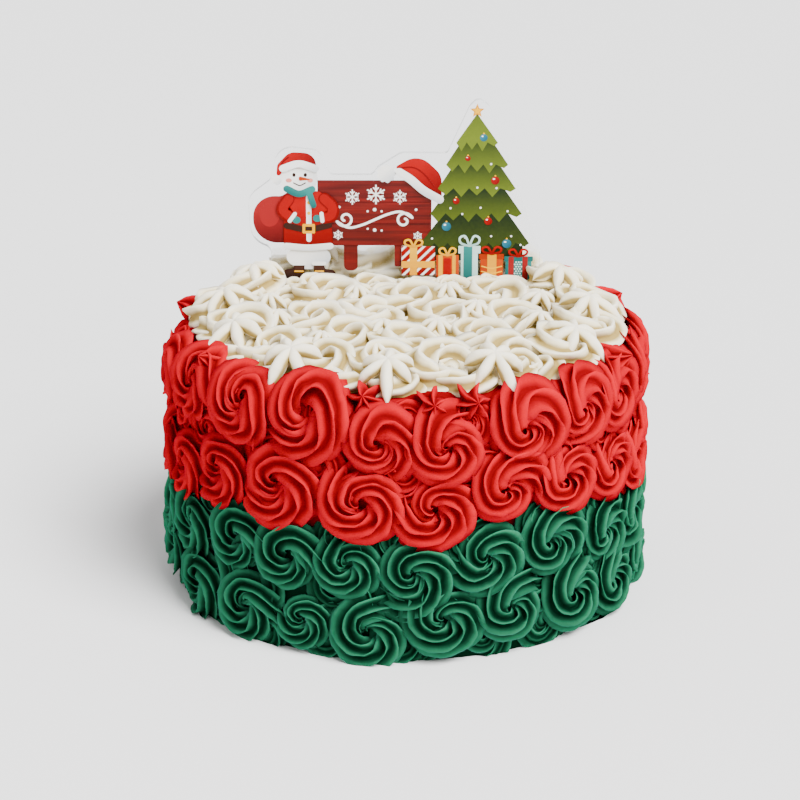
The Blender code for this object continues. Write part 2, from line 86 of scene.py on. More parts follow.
def add_material(name):
    """A node material, its tree and its main shader."""
    material = bpy.data.materials.new(name)
    material.use_nodes = True
    return material, material.node_tree, material.node_tree.nodes["Principled BSDF"]


camera_data = bpy.data.cameras.new("camera")
camera_data.lens = LENS_MM
camera_data.sensor_width = SENSOR_MM
camera = add_object("camera", camera_data)
rise = math.radians(CAMERA_HEIGHT_DEG)
stand = SIGHT + CAMERA_DISTANCE * Vector((0, -math.cos(rise), math.sin(rise)))
aim(camera, stand, SIGHT - stand, math.radians(CAMERA_ROLL_DEG))
bpy.context.scene.camera = camera

floor_mesh = bpy.data.meshes.new("floor")
floor_mesh.from_pydata([(x * FLOOR_REACH, y * FLOOR_REACH, 0)
                        for x, y in ((-1, -1), (1, -1), (1, 1), (-1, 1))], [], [(0, 1, 2, 3)])
floor_material, tree, shader = add_material("pale floor")
fill(tree, shader, {"Base Color": (0.88, 0.88, 0.88, 1), "Roughness": 0.6})
floor_mesh.materials.append(floor_material)
floor = add_object("floor", floor_mesh)

world = bpy.data.worlds.new("surround")
bpy.context.scene.world = world
world.use_nodes = True
fill(world.node_tree, world.node_tree.nodes["Background"],
     {"Color": (1, 1, 1, 1), "Strength": SURROUND_POWER})

sun = bpy.data.lights.new("overhead", "SUN")
sun.energy = SUN_POWER
sun.angle = math.radians(SUN_SPREAD_DEG)
aim(add_object("overhead", sun), (0, 0, 0), SUN_LINE)
for name, place, size, power in PANELS:
    panel = bpy.data.lights.new(name, "AREA")
    panel.size = size
    panel.energy = power
    aim(add_object(name, panel), place, SIGHT - Vector(place))

# The iced cake under the roses
# Sponge and filling behind a smooth undercoat of buttercream, in three colours. It shows only as
# dark hollows between the roses, so each band stops a little behind the edge of its own colour.
# Each band is painted all over in its icing's hollow colour, which is painted shade.
WALL_RADIUS = 101 * MM
TOP_HEIGHT = 117 * MM
RIM_ROUND = 12 * MM
STRAIGHT = TOP_HEIGHT - RIM_ROUND
FLAT_RADIUS = WALL_RADIUS - RIM_ROUND
RIM_CLIMB = STRAIGHT + RIM_ROUND * math.pi / 2
SKIN_STEPS = 128


def wall_point(azimuth, climb, proud=0):
    """A point by the way up the wall, over the rim and in across the top, proud of the icing."""
    lean = min(max((climb - STRAIGHT) / RIM_ROUND, 0), math.pi / 2)
    radius = FLAT_RADIUS + RIM_ROUND * math.cos(lean) - max(climb - RIM_CLIMB, 0)
    height = min(climb, STRAIGHT) + RIM_ROUND * math.sin(lean)
    radius += proud * math.cos(lean)
    height += proud * math.sin(lean)
    return Vector((radius * math.sin(azimuth), -radius * math.cos(azimuth), height))


def add_node(tree, kind, inputs=(), **settings):
    """A node with its options set and its inputs filled."""
    item = tree.nodes.new(kind)
    for name, value in settings.items():
        setattr(item, name, value)
    fill(tree, item, inputs)
    return item


def made(tree, kind, inputs=(), **settings):
    """What a new node gives first."""
    return add_node(tree, kind, inputs, **settings).outputs[0]


def calc(tree, operation, *values):
    """The result of one sum on numbers."""
    return made(tree, "ShaderNodeMath", values, operation=operation)


def noise(tree, place, scale, detail=2, distortion=0):
    """A cloudy pattern that lies still on a place."""
    return add_node(tree, "ShaderNodeTexNoise", {
        "Vector": place, "Scale": scale, "Detail": detail, "Distortion": distortion}).outputs


def on_piece(tree):
    """The place on a piece, for a pattern that stays where it is."""
    return add_node(tree, "ShaderNodeTexCoord").outputs["Object"]


def uneven_mark(tree, name, share, clouds):
    """A mark that the piece carries by name, with a share of a cloudy pattern on top."""
    mark = add_node(tree, "ShaderNodeAttribute", attribute_name=name).outputs["Fac"]
    return calc(tree, "MULTIPLY_ADD", clouds["Fac"], share, mark)


def colours(tree, value, *stops):
    """Colours that run from one to the next as a value rises."""
    item = add_node(tree, "ShaderNodeValToRGB", (value,))
    elements = item.color_ramp.elements
    elements.remove(elements[1])
    for number, (position, colour) in enumerate(stops):
        stop = elements.new(position) if number else elements[0]
        stop.position = position
        stop.color = (*colour, 1)
    return item.outputs[0]


def bumps(tree, clouds, strength, distance):
    """Fine bumps out of a cloudy pattern."""
    return made(tree, "ShaderNodeBump", {"Strength": strength, "Distance": distance,
                                         "Height": clouds["Fac"]})


def buttercream(name, crest_highlight, body, hollow_shade, warmth, glow, roughness):
    """Soft satin icing: painted highlight on crests, painted shade in hollows, fine grain, light
    inside.
    """
    material, tree, shader = add_material(name)
    # The groove mark, with a little cloud, picks the colour. The crests are painted paler, a
    # painted highlight together with the paler icing of thin edges. The hollows are painted
    # darker: painted shade.
    depth = uneven_mark(tree, "groove", 0.30, noise(tree, on_piece(tree), 90, 4))
    fill(tree, shader, {
        "Base Color": colours(tree, depth, (0.30, crest_highlight), (0.65, body), (1.0, hollow_shade)),
        "Roughness": roughness, "Specular IOR Level": 0, "Subsurface Weight": glow,
        "Subsurface Radius": warmth, "Subsurface Scale": 2 * MM,
        "Normal": bumps(tree, noise(tree, on_piece(tree), 1400, 3), 0.25, 0.15 * MM)})
    return material


# An icing is its material, the CAD node that its pieces stand for and its slot.
# Each icing's three colours: a painted highlight for its crests, its own colour, painted shade for
# its hollows.
GREEN = (buttercream("green buttercream", (0.017, 0.130, 0.066), (0.006, 0.046, 0.022),
                     (0.001, 0.014, 0.006), (0.3, 1.0, 0.6), 0.2, 0.34),
         "icing_green_band", "green_buttercream")
RED = (buttercream("red buttercream", (0.48, 0.001, 0.012), (0.36, 0.000, 0.007),
                   (0.17, 0.000, 0.003), (1.0, 0.2, 0.1), 0.18, 0.38),
       "icing_red_band", "red_buttercream")
IVORY = (buttercream("ivory buttercream", (0.90, 0.83, 0.66), (0.82, 0.73, 0.49),
                     (0.35, 0.25, 0.08), (1.0, 0.8, 0.5), 0.12, 0.5),
         "icing_white_top", "white_buttercream")


def mesh_of(name, shape, *materials):
    """Turn a bmesh into a mesh with its faces outwards and its materials on it."""
    bmesh.ops.recalc_face_normals(shape, faces=shape.faces)
    mesh = bpy.data.meshes.new(name)
    shape.to_mesh(mesh)
    shape.free()
    for material in materials:
        mesh.materials.append(material)
    return mesh


def keep_piece(name, mesh, node):
    """A finished piece that stands for one CAD node."""
    piece = add_object(name, mesh)
    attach(piece, "root")
    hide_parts(node)
    return piece


def undercoat(name, climbs, icing, node, slot):
    """A turned skin through some climbs, closed over the top and the base."""
    shape = bmesh.new()
    rings = [[shape.verts.new(wall_point(math.tau * step / SKIN_STEPS, climb))
              for step in range(SKIN_STEPS)] for climb in climbs]
    for low, high in zip(rings, rings[1:]):
        for step in range(SKIN_STEPS):
            after = (step + 1) % SKIN_STEPS
            shape.faces.new((low[step], low[after], high[after], high[step]))
    shape.faces.new(rings[0][::-1])
    shape.faces.new(rings[-1])
    mesh = mesh_of(name, shape, icing)
    mesh.shade_smooth()
    # The full groove mark on every point paints the whole skin with the painted hollow shade.
    hollow_shade = mesh.attributes.new("groove", "FLOAT", "POINT")
    hollow_shade.data.foreach_set("value", [1.0] * len(mesh.vertices))
    keep_piece(name, mesh, node)


undercoat("green_undercoat", (0, 30 * MM, 58 * MM), *GREEN)
undercoat("red_undercoat", (58.2 * MM, 90 * MM, STRAIGHT, STRAIGHT + 6 * MM, STRAIGHT + 12 * MM,
                            RIM_CLIMB, RIM_CLIMB + 3 * MM), *RED)
undercoat("ivory_undercoat", (RIM_CLIMB + 3.2 * MM, RIM_CLIMB + 10 * MM), *IVORY)

# The green roses
# Two rows of swirls round the foot of the cake. Each is one rope of buttercream, piped through a
# star nozzle that starts in the middle and circles outwards clockwise, so the ridges slide over
# the rope as it turns. The tree below makes them from one point for each rose.
GREEN_LOWER = (                  # azimuth in degrees, height, radius and rise in mm
    (-60, 15, 17, 7.5), (-41, 14, 16.5, 8), (-25, 16, 13, 6.5), (-8, 13, 17, 8),
    (9.8, 20.5, 17.5, 8), (26.5, 22, 17.5, 8), (45, 20, 18, 8), (62, 16, 17, 7.5),
)
GREEN_UPPER = (
    (-79, 40, 16.5, 7.5), (-62, 42, 17, 7.5), (-44, 45, 16.5, 7.5), (-29, 43.5, 16.5, 8),
    (-13, 44, 15, 7), (2, 41, 17, 8), (19.5, 47.5, 17, 8), (37, 48.5, 17, 8), (56, 42, 16.5, 7.5),
    (73, 40, 16.5, 7.5), (90, 39, 16.5, 7.5),
)
GREEN_RUFFLES = ((10, 15), (30, 18), (54, 13))    # height and radius
ROSES_ROUND = 20                 # roses in a whole row
FULL_ROSE = 17 * MM              # the radius of a rose of size 1
ROSE_SIZES = {"Teeth": 8, "Groove depth": 0.60, "Rope steps": 72, "Section steps": 56,
              "Rope": 7.8 * MM, "Inner path": 3.6 * MM, "Outer path": 13.0 * MM,
              "Flattened": 0.78, "Blunt teeth": 0.6}
RUFFLE_STEPS = {"Rope steps": 48, "Section steps": 36}
RUFFLE_FLATTENED = 0.5
RUFFLE_RISE = 1.0                # in mm
SLIDE = 0.6                      # how fast the ridges slide over the rope, per turn of the path
WIDENING = 0.85                  # below 1, so a path widens fastest at its heart
TURNS = (1.35, 1.7)              # how often a path turns, at least and at most
OPEN = (0.75, 1.5)               # and how open its heart is
ROSE_PUSHES = ((60, 3.6 * MM), (240, 1.1 * MM))    # the hand's unevenness: scale and reach
chance = random.Random(25)


def product(tree, first, *others):
    """Numbers multiplied together."""
    return calc(tree, "MULTIPLY", first, product(tree, *others)) if others else first


def vector_sum(tree, operation, *values):
    """The result of one sum on vectors."""
    return made(tree, "ShaderNodeVectorMath", values, operation=operation)


def scaled(tree, vector, factor):
    """A vector times a number."""
    return made(tree, "ShaderNodeVectorMath", {0: vector, "Scale": factor}, operation="SCALE")


def eased(tree, value, start, end, before, after, how="LINEAR"):
    """A number that goes from before to after while another goes from start to end."""
    return made(tree, "ShaderNodeMapRange", (value, start, end, before, after),
                interpolation_type=how)


def carried(tree, name, kind="FLOAT"):
    """A value that every point carries by name."""
    return made(tree, "GeometryNodeInputNamedAttribute", (name,), data_type=kind)


def spot(tree):
    """The place of every point."""
    return made(tree, "GeometryNodeInputPosition")


def split(tree, vector):
    """The three parts of a vector."""
    return add_node(tree, "ShaderNodeSeparateXYZ", (vector,)).outputs


def joined(tree, x, y, z):
    """A vector out of three parts."""
    return made(tree, "ShaderNodeCombineXYZ", (x, y, z))


def polar(tree, reach, angle, height):
    """A place by its reach from an upright line, the angle round it and the height."""
    return joined(tree, product(tree, reach, calc(tree, "COSINE", angle)),
                  product(tree, reach, calc(tree, "SINE", angle)), height)


def moved(tree, mesh, place, push=None):
    """Points moved to a place, or pushed from where they are."""
    return made(tree, "GeometryNodeSetPosition", (mesh, True, place, push))


def new_tree(name, sizes):
    """A tree with points in, icing out and named sizes, and in it a rope for every point."""
    tree = bpy.data.node_groups.new(name, "GeometryNodeTree")
    sockets = {"Points": "Geometry", "Icing": "Material", "Rope steps": "Int",
               "Section steps": "Int", **sizes}
    for label, kind in sockets.items():
        tree.interface.new_socket(label, in_out="INPUT", socket_type=f"NodeSocket{kind}")
    tree.interface.new_socket("Icing", in_out="OUTPUT", socket_type="NodeSocketGeometry")
    given = add_node(tree, "NodeGroupInput").outputs
    line = made(tree, "GeometryNodeCurvePrimitiveLine")
    fine = made(tree, "GeometryNodeResampleCurve", (line, True, given["Rope steps"]))
    placed = made(tree, "GeometryNodeInstanceOnPoints", (given["Points"], True, fine))
    rope = made(tree, "GeometryNodeRealizeInstances", (placed,))
    return tree, given, rope, made(tree, "GeometryNodeSplineParameter")


def section(tree, given, groove, reach):
    """The cut across a rope: a circle with its grooves marked, drawn out by a reach."""
    circle = made(tree, "GeometryNodeCurvePrimitiveCircle", (given["Section steps"],))
    # The groove mark it stores sets the painted shade in the grooves and the painted highlight on
    # the crests of the teeth.
    circle = made(tree, "GeometryNodeStoreNamedAttribute", (circle, True, "groove", groove),
                  data_type="FLOAT")
    return moved(tree, circle, scaled(tree, spot(tree), reach))


def star_section(tree, given):
    """The cut of a star nozzle: teeth, the more blunt the rounder, and grooves between them."""
    x, y, _ = split(tree, spot(tree))
    wave = calc(tree, "SINE", product(tree, calc(tree, "ARCTAN2", y, x), given["Teeth"], 0.5))
    groove = calc(tree, "POWER", calc(tree, "ABSOLUTE", wave), given["Blunt teeth"])
    reach = calc(tree, "SUBTRACT", 1, product(tree, groove, given["Groove depth"]))
    return section(tree, given, groove, reach)


def piped_rope(tree, rope, thick, cut):
    """Carry a section along a rope, as thick as told, and close both ends."""
    rope = made(tree, "GeometryNodeSetCurveRadius", (rope, True, thick))
    radius = made(tree, "GeometryNodeInputRadius")
    return made(tree, "GeometryNodeCurveToMesh", (rope, cut, radius, True))


def squarely(tree, local):
    """Take a place across, up and proud of a shape's middle to its place, with no bend in it."""
    place = carried(tree, "middle", "FLOAT_VECTOR")
    for name, reach in zip(("side", "upward", "outward"), split(tree, local)):
        place = vector_sum(tree, "ADD", place,
                           scaled(tree, carried(tree, name, "FLOAT_VECTOR"), reach))
    return place


def on_cake(tree, local, across_wall):
    """The same, or bent round the wall and over the rim with the icing."""
    across, up, proud = split(tree, local)
    climb = calc(tree, "ADD", carried(tree, "climb"), up)
    azimuth = calc(tree, "ADD", carried(tree, "azimuth"),
                   calc(tree, "DIVIDE", across, WALL_RADIUS))
    over = calc(tree, "DIVIDE", calc(tree, "SUBTRACT", climb, STRAIGHT), RIM_ROUND)
    lean = calc(tree, "MINIMUM", calc(tree, "MAXIMUM", over, 0), math.pi / 2)
    inward = calc(tree, "MAXIMUM", calc(tree, "SUBTRACT", climb, RIM_CLIMB), 0)
    round_reach = calc(tree, "ADD", proud, RIM_ROUND)
    radius = calc(tree, "SUBTRACT", calc(tree, "MULTIPLY_ADD", round_reach,
                                         calc(tree, "COSINE", lean), FLAT_RADIUS), inward)
    height = calc(tree, "MULTIPLY_ADD", round_reach, calc(tree, "SINE", lean),
                  calc(tree, "MINIMUM", climb, STRAIGHT))
    front = calc(tree, "SUBTRACT", azimuth, math.pi / 2)
    return made(tree, "GeometryNodeSwitch",
                {"Switch": across_wall, "False": squarely(tree, local),
                 "True": polar(tree, radius, front, height)}, input_type="VECTOR")


def end_tree(tree, given, mesh, pushes):
    """Leave the icing as uneven as a hand does, keep it off the table, and end the tree."""
    for scale, reach in pushes:
        clouds = noise(tree, spot(tree), scale)["Color"]
        push = vector_sum(tree, "SUBTRACT", clouds, (0.5, 0.5, 0.5))
        mesh = moved(tree, mesh, None, scaled(tree, push, reach))
    x, y, z = split(tree, spot(tree))
    mesh = moved(tree, mesh, joined(tree, x, y, calc(tree, "MAXIMUM", z, 0)))
    mesh = made(tree, "GeometryNodeSetShadeSmooth", (mesh, True, True))
    mesh = made(tree, "GeometryNodeRealizeInstances", (mesh,))
    mesh = made(tree, "GeometryNodeSetMaterial", (mesh, True, given["Icing"]))
    add_node(tree, "NodeGroupOutput", {"Icing": mesh})
    return tree


def rose_tree():
    """Roses: a spiral of star-nozzle rope for every point."""
    tree, given, rope, along = new_tree("piped roses", {
        "On the wall": "Bool", "Teeth": "Int", "Groove depth": "Float", "Blunt teeth": "Float",
        "Rope": "Float", "Inner path": "Float", "Outer path": "Float", "Flattened": "Float"})
    size = carried(tree, "size")
    turned = product(tree, carried(tree, "turns"), along, math.tau)
    angle = calc(tree, "SUBTRACT", carried(tree, "spin"), turned)
    heart = product(tree, given["Inner path"], carried(tree, "open"))
    path = calc(tree, "MULTIPLY_ADD", calc(tree, "POWER", along, WIDENING),
                calc(tree, "SUBTRACT", given["Outer path"], heart), heart)
    # thin at its start and its end, and lower at its heart than outside
    start = eased(tree, along, 0.0, 0.35, 0.58, 1.0)
    tail = eased(tree, along, 0.90, 1.0, 1.0, 0.25, "SMOOTHSTEP")
    lift = eased(tree, along, 0.0, 0.45, 0.15, 0.42)
    sunk = eased(tree, along, 0.84, 1.0, 1.0, -2.4, "SMOOTHSTEP")
    level = product(tree, carried(tree, "rise"), lift, sunk)
    rope = moved(tree, rope, polar(tree, product(tree, path, size), angle, level))
    rope = made(tree, "GeometryNodeSetCurveNormal", (rope, True), mode="Z_UP")
    rope = made(tree, "GeometryNodeSetCurveTilt", (rope, True, product(tree, angle, SLIDE)))
    mesh = piped_rope(tree, rope, product(tree, given["Rope"], size, tail, start),
                      star_section(tree, given))
    squash = joined(tree, 1.0, 1.0, given["Flattened"])
    pressed = vector_sum(tree, "MULTIPLY", spot(tree), squash)
    mesh = moved(tree, mesh, on_cake(tree, pressed, given["On the wall"]))
    return end_tree(tree, given, mesh, ROSE_PUSHES)


def seeds(places):
    """A mesh of one point for each piped shape, with all that shape needs carried on it."""
    mesh = bpy.data.meshes.new("seeds")
    mesh.from_pydata([place["middle"] for place in places], [], [])
    for name, first in places[0].items():
        values = [place[name] for place in places]
        if isinstance(first, Vector):
            carrier = mesh.attributes.new(name, "FLOAT_VECTOR", "POINT")
            carrier.data.foreach_set("vector", [part for value in values for part in value])
        else:
            mesh.attributes.new(name, "FLOAT", "POINT").data.foreach_set("value", values)
    return mesh


def grow(name, places, tree, sizes, icing, node, slot):
    """Run a tree on the seeds and keep its result as one plain piece of icing."""
    source = add_object(name + "_seeds", seeds(places))
    modifier = source.modifiers.new("piping", "NODES")
    modifier.node_group = tree
    inputs = {**sizes, "Icing": icing}
    for socket in tree.interface.items_tree:
        if socket.in_out == "INPUT" and socket.name in inputs:
            modifier[socket.identifier] = inputs[socket.name]
    graph = bpy.context.evaluated_depsgraph_get()
    mesh = bpy.data.meshes.new_from_object(source.evaluated_get(graph))
    mesh.name = name
    bpy.data.objects.remove(source)
    return keep_piece(name, mesh, node)


def whole_row(front, count, lower=0):
    """The seen shapes of a row, and the rest of the row round the back by the same measure."""
    first, last = front[0], front[-1]
    left = count - len(front)
    step = (360 - (last[0] - first[0])) / (left + 1)
    row = list(front)
    for place in range(1, left + 1):
        like = front[place % len(front)]
        azimuth = last[0] + step * place + chance.uniform(-1.5, 1.5)
        row.append((azimuth, like[1] - lower, *like[2:]))
    return row


def piped(azimuth, climb, radius, rise, lean=0.0):
    """All that one piped shape carries, with a turn and a length of its own; sizes in mm."""
    azimuth = math.radians(azimuth)
    middle = wall_point(azimuth, climb * MM)
    side = Vector((math.cos(azimuth), math.sin(azimuth), 0))
    outward = (wall_point(azimuth, climb * MM, MM) - middle).normalized()
    outward.rotate(Matrix.Rotation(math.radians(lean), 3, side))
    return {"middle": middle, "side": side, "outward": outward, "upward": outward.cross(side),
            "azimuth": azimuth, "climb": climb * MM, "size": radius * MM / FULL_ROSE,
            "rise": rise * MM, "spin": chance.uniform(0, math.tau),
            "turns": chance.uniform(*TURNS), "open": chance.uniform(*OPEN)}


def wall_roses(name, front, icing, lower=0):
    """One row of roses round the wall."""
    places = [piped(*rose) for rose in whole_row(front, ROSES_ROUND, lower)]
    grow(name, places, ROSE_TREE, {**ROSE_SIZES, "On the wall": True}, *icing)


def wall_ruffles(name, rows, icing):
    """Low swirls pressed in behind rows of roses, of which only edges show in the gaps."""
    sizes = {**ROSE_SIZES, **RUFFLE_STEPS, "Flattened": RUFFLE_FLATTENED, "On the wall": True}
    for row, (climb, radius) in enumerate(rows, 1):
        places = []
        for number in range(ROSES_ROUND):
            azimuth = 360 * (number + chance.uniform(-0.2, 0.2)) / ROSES_ROUND
            places.append(piped(azimuth, climb + chance.uniform(-2, 2),
                                radius * chance.uniform(0.9, 1.1), RUFFLE_RISE))
        grow(f"{name}_{row}", places, ROSE_TREE, sizes, *icing)


ROSE_TREE = rose_tree()
wall_roses("green_roses_lower", GREEN_LOWER, GREEN)
wall_roses("green_roses_upper", GREEN_UPPER, GREEN)
wall_ruffles("green_ruffles", GREEN_RUFFLES, GREEN)

# The red roses
# Two rows above the green, of the same buttercream in red, the upper one rolling over the rounded
# rim of the cake.
RED_LOWER = (
    (-83, 65, 17, 8), (-66, 68, 17, 8), (-50, 75, 17, 8), (-31, 77, 19.5, 9), (-10, 73, 18, 8),
    (7, 71, 18, 8.5), (24.5, 77, 18.5, 8.5), (42, 76, 17, 8), (59, 73, 16.5, 8),
    (75, 66, 17, 8), (91, 65, 17, 8),
)
RED_UPPER = (
    (-80, 103, 17, 8), (-62, 106, 18, 8), (-42, 108, 18, 8.5), (-24.5, 110, 20, 9),
    (-6, 100, 16, 7.5), (10, 98, 18, 8), (29.5, 103, 18.5, 8.5), (46.5, 105, 17, 8),
    (62, 105, 17, 8), (80, 103, 16.5, 8),
)
BACK_LOWER = 8                   # the upper row sits lower at the back, by so many mm
RED_RUFFLES = ((89, 16), (108, 12))
wall_roses("red_roses_lower", RED_LOWER, RED)
wall_roses("red_roses_upper", RED_UPPER, RED, BACK_LOWER)
wall_ruffles("red_ruffles", RED_RUFFLES, RED)

# The ivory roses
# A leaning ring along the rim, a ring inside it and three in the middle, all on the flat top, with
# low swirls between them. A nozzle with fewer teeth gives them broader bands.
WHITE_RIM = (                    # azimuth, distance from the middle, radius and outward lean
    (-74, 77, 17, 14), (-52, 74, 15, 14), (-31, 70, 17, 16), (-9, 68, 15, 14),
    (12, 71, 16.5, 18), (36, 76, 17, 18), (57, 82, 16, 16), (79, 81, 16.5, 14),
    (101, 81, 17, 14), (123, 83, 17, 14), (146, 84, 17, 12), (169, 77, 17.5, 10),
    (-168, 77, 17, 10), (-145, 84, 17.5, 12), (-121, 84, 16.5, 14), (-98, 82, 17, 14),
)
WHITE_RINGS = ((9, 44, 17.5), (3, 17, 18))    # how many, distance from the middle and radius
WHITE_RISE = 9                   # in mm
WHITE_SIZES = {"Teeth": 5, "Groove depth": 0.50, "Blunt teeth": 0.8, "Rope": 9.4 * MM,
               "Flattened": 0.95}
LOW_RINGS = ((79, 18), (60, 13), (31, 7), (2, 1))    # distance from the middle and how many
LOW_RADIUS = 14.5
PLATE_ROWS = ((45, 2), (69, 9))  # low swirls before and behind the topper: place and rise
PLATE_ROW_RADIUS = 11
MIDDLE_CLIMB = (RIM_CLIMB + FLAT_RADIUS) / MM    # the way up the wall and in to the middle
PLATE_MIDDLE = 55 * MM           # the topper stands this far behind the middle of the cake
PLATE_FACES = (51.2 * MM, 57.0 * MM)    # before its print, and its back
PLATE_SIDE = 63 * MM
NEAR_PLATE = 25 * MM             # roses further back than this lie low, in front of the plate
NEAR_PLATE_RISE = 2 * MM
NEAR_PLATE_SIZE = 0.82
PRESSED = 0.98                   # the share of the icing past a face that is pressed back
SIDE_SLOPE = 1.5                 # how fast the pressing eases off beside the plate


def press_to_plate(piece, behind):
    """Press the icing almost flat where the plate, or the print on it, stands."""
    way = 1 if behind else -1
    for point in piece.data.vertices:
        spare = SIDE_SLOPE * max(abs(point.co.x) - PLATE_SIDE, 0)
        too_far = way * (PLATE_FACES[behind] - point.co.y) - spare
        point.co.y += way * PRESSED * max(too_far, 0)


outer_places = [piped(azimuth, MIDDLE_CLIMB - distance, radius, WHITE_RISE, lean)
                for azimuth, distance, radius, lean in WHITE_RIM]
inner_places = []
for ring, (count, distance, radius) in enumerate(WHITE_RINGS):
    for number in range(count):
        azimuth = 360 * (number + 0.5 * ring) / count + chance.uniform(-4, 4)
        place = piped(azimuth, MIDDLE_CLIMB - distance, radius, WHITE_RISE)
        if place["middle"].y > NEAR_PLATE:
            place["rise"] = NEAR_PLATE_RISE
            place["size"] *= NEAR_PLATE_SIZE
        inner_places.append(place)
low_places = []
for distance, count in LOW_RINGS:
    for number in range(count):
        azimuth = 360 * (number + chance.uniform(-0.2, 0.2)) / count
        low_places.append(piped(azimuth, MIDDLE_CLIMB - distance, LOW_RADIUS, RUFFLE_RISE))
for y, rise in PLATE_ROWS:
    for x in range(-54, 55, 12):
        x += chance.uniform(-2, 2)
        azimuth = math.degrees(math.atan2(x, -y))
        low_places.append(piped(azimuth, MIDDLE_CLIMB - math.hypot(x, y), PLATE_ROW_RADIUS, rise))
for name, places, steps in (("ivory_roses_outer", outer_places, {}),
                            ("ivory_roses_inner", inner_places, {}),
                            ("ivory_ruffles", low_places, RUFFLE_STEPS)):
    sizes = {**ROSE_SIZES, **WHITE_SIZES, **steps, "On the wall": False}
    for side, behind in (("front", False), ("back", True)):
        part = [place for place in places if (place["middle"].y > PLATE_MIDDLE) == behind]
        if part:
            press_to_plate(grow(f"{name}_{side}", part, ROSE_TREE, sizes, *IVORY), behind)

# The red star drops
# Small pointed drops on the rim, between the red roses and the ivory ones: a star nozzle is held
# still, pressed and pulled away, so six thin wings run up to one tip.
RED_STARS = (                    # azimuth, way up, radius and height
    (-10, 118, 9.5, 11), (6.5, 116, 9, 12), (16.3, 116, 9.5, 12),
)
STARS_ROUND = 9
RED_LEAN = 32                    # how far they lean outwards, in degrees
STAR_SIZES = {"Teeth": 6, "Groove depth": 0.6, "Blunt teeth": 0.95, "Rope steps": 24,
              "Section steps": 48}
STAR_ROOT = 0.25                 # how deep a drop starts in the icing, as a share of its height
STAR_TWIST = 0.5                 # from foot to tip, in radians
STAR_TAPER = 2.2                 # the higher, the longer a drop stays thick
STAR_PUSHES = ((70, 3.0 * MM), (260, 1.0 * MM))


def star_tree():
    """Star drops: a straight, tapered, slightly twisted piece of rope for every point."""
    tree, given, rope, along = new_tree("piped stars", {
        "Teeth": "Int", "Groove depth": "Float", "Blunt teeth": "Float"})
    height = product(tree, carried(tree, "rise"),
                     calc(tree, "MULTIPLY_ADD", along, 1 + STAR_ROOT, -STAR_ROOT))
    middle = vector_sum(tree, "ADD", carried(tree, "middle", "FLOAT_VECTOR"),
                        scaled(tree, carried(tree, "outward", "FLOAT_VECTOR"), height))
    twist = calc(tree, "MULTIPLY_ADD", along, STAR_TWIST, carried(tree, "spin"))
    taper = calc(tree, "SUBTRACT", 1, calc(tree, "POWER", along, STAR_TAPER))
    rope = made(tree, "GeometryNodeSetCurveTilt", (moved(tree, rope, middle), True, twist))
    mesh = piped_rope(tree, rope, product(tree, carried(tree, "size"), FULL_ROSE, taper),
                      star_section(tree, given))
    return end_tree(tree, given, mesh, STAR_PUSHES)


star_places = [piped(*drop, RED_LEAN) for drop in whole_row(RED_STARS, STARS_ROUND)]
grow("red_stars", star_places, star_tree(), STAR_SIZES, *RED)

# The ivory drops
# Fuller drops from a nozzle with round petals: six fat petals run from one tip outwards and end
# in points. The big ones hang over the rim between the roses, the small ones fill gaps on top.
RIM_DROPS = (                    # azimuth, way up and in, reach, height and outward lean
    (-35, 133, 13, 13, 20), (-5.4, 133, 12.5, 13.5, 20), (26.4, 133, 12.5, 13, 20),
    (60, 133, 12.5, 13, 18),
)
DROPS_ROUND = 12
BACK_HIGHER = 3                  # the drops at the back sit further in, by so many mm
TOP_DROPS = ((60, 13), (29, 7))  # distance from the middle, and how many
PETALS = 6
LONGEST = 1.55                   # the petal that hangs over the rim, against the others
PETAL_SIZES = {"Rope steps": 22, "Section steps": 20, "Fatness": 0.28}
PETAL_FALL = 0.60                # how far a petal's point lies below the tip, against its height
PETAL_RIDGE = 0.35               # how far its back stands out, against its thickness
PETAL_PUSHES = ((70, 3.0 * MM), (260, 0.8 * MM))


def petal_tree():
    """One fat petal for every point: from the tip of a drop out and down to a point."""
    tree, given, rope, along = new_tree("piped petals", {"Fatness": "Float"})
    out = product(tree, carried(tree, "reach"), along)
    drop = product(tree, calc(tree, "POWER", along, 1.8), PETAL_FALL)
    fall = calc(tree, "SUBTRACT", 1, drop)
    height = product(tree, carried(tree, "rise"), fall)
    swell = product(tree, calc(tree, "MULTIPLY_ADD", along, 1.5, 0.40),
                    calc(tree, "SUBTRACT", 1, calc(tree, "POWER", along, 1.7)))
    # The flanks carry the groove mark, so they take the painted hollow shade, and the back ridge
    # takes the painted crest highlight.
    x, y, _ = split(tree, spot(tree))
    flank_shading = calc(tree, "POWER", calc(tree, "ABSOLUTE", x), 3)
    ridge = calc(tree, "POWER", calc(tree, "ABSOLUTE", y), 5)
    cut = section(tree, given, flank_shading, calc(tree, "MULTIPLY_ADD", ridge, PETAL_RIDGE, 1))
    rope = moved(tree, rope, polar(tree, out, carried(tree, "spin"), height))
    rope = made(tree, "GeometryNodeSetCurveNormal", (rope, True), mode="Z_UP")
    thick = product(tree, given["Fatness"], carried(tree, "size"), FULL_ROSE, swell)
    mesh = piped_rope(tree, rope, thick, cut)
    mesh = moved(tree, mesh, squarely(tree, spot(tree)))
    return end_tree(tree, given, mesh, PETAL_PUSHES)


def petals_of(azimuth, climb, reach, height, lean, longest):
    """The petals of one drop; the one that points outwards is the longest."""
    petals = []
    for number in range(PETALS):
        petal = piped(azimuth, climb, reach, height, lean)
        way = math.tau * (number + chance.uniform(-0.12, 0.12)) / PETALS - math.pi / 2
        petal["spin"] = way
        petal["reach"] = (reach * MM * chance.uniform(0.9, 1.05)
                          * (1 + (longest - 1) * max(-math.sin(way), 0) ** 3))
        petals.append(petal)
    return petals


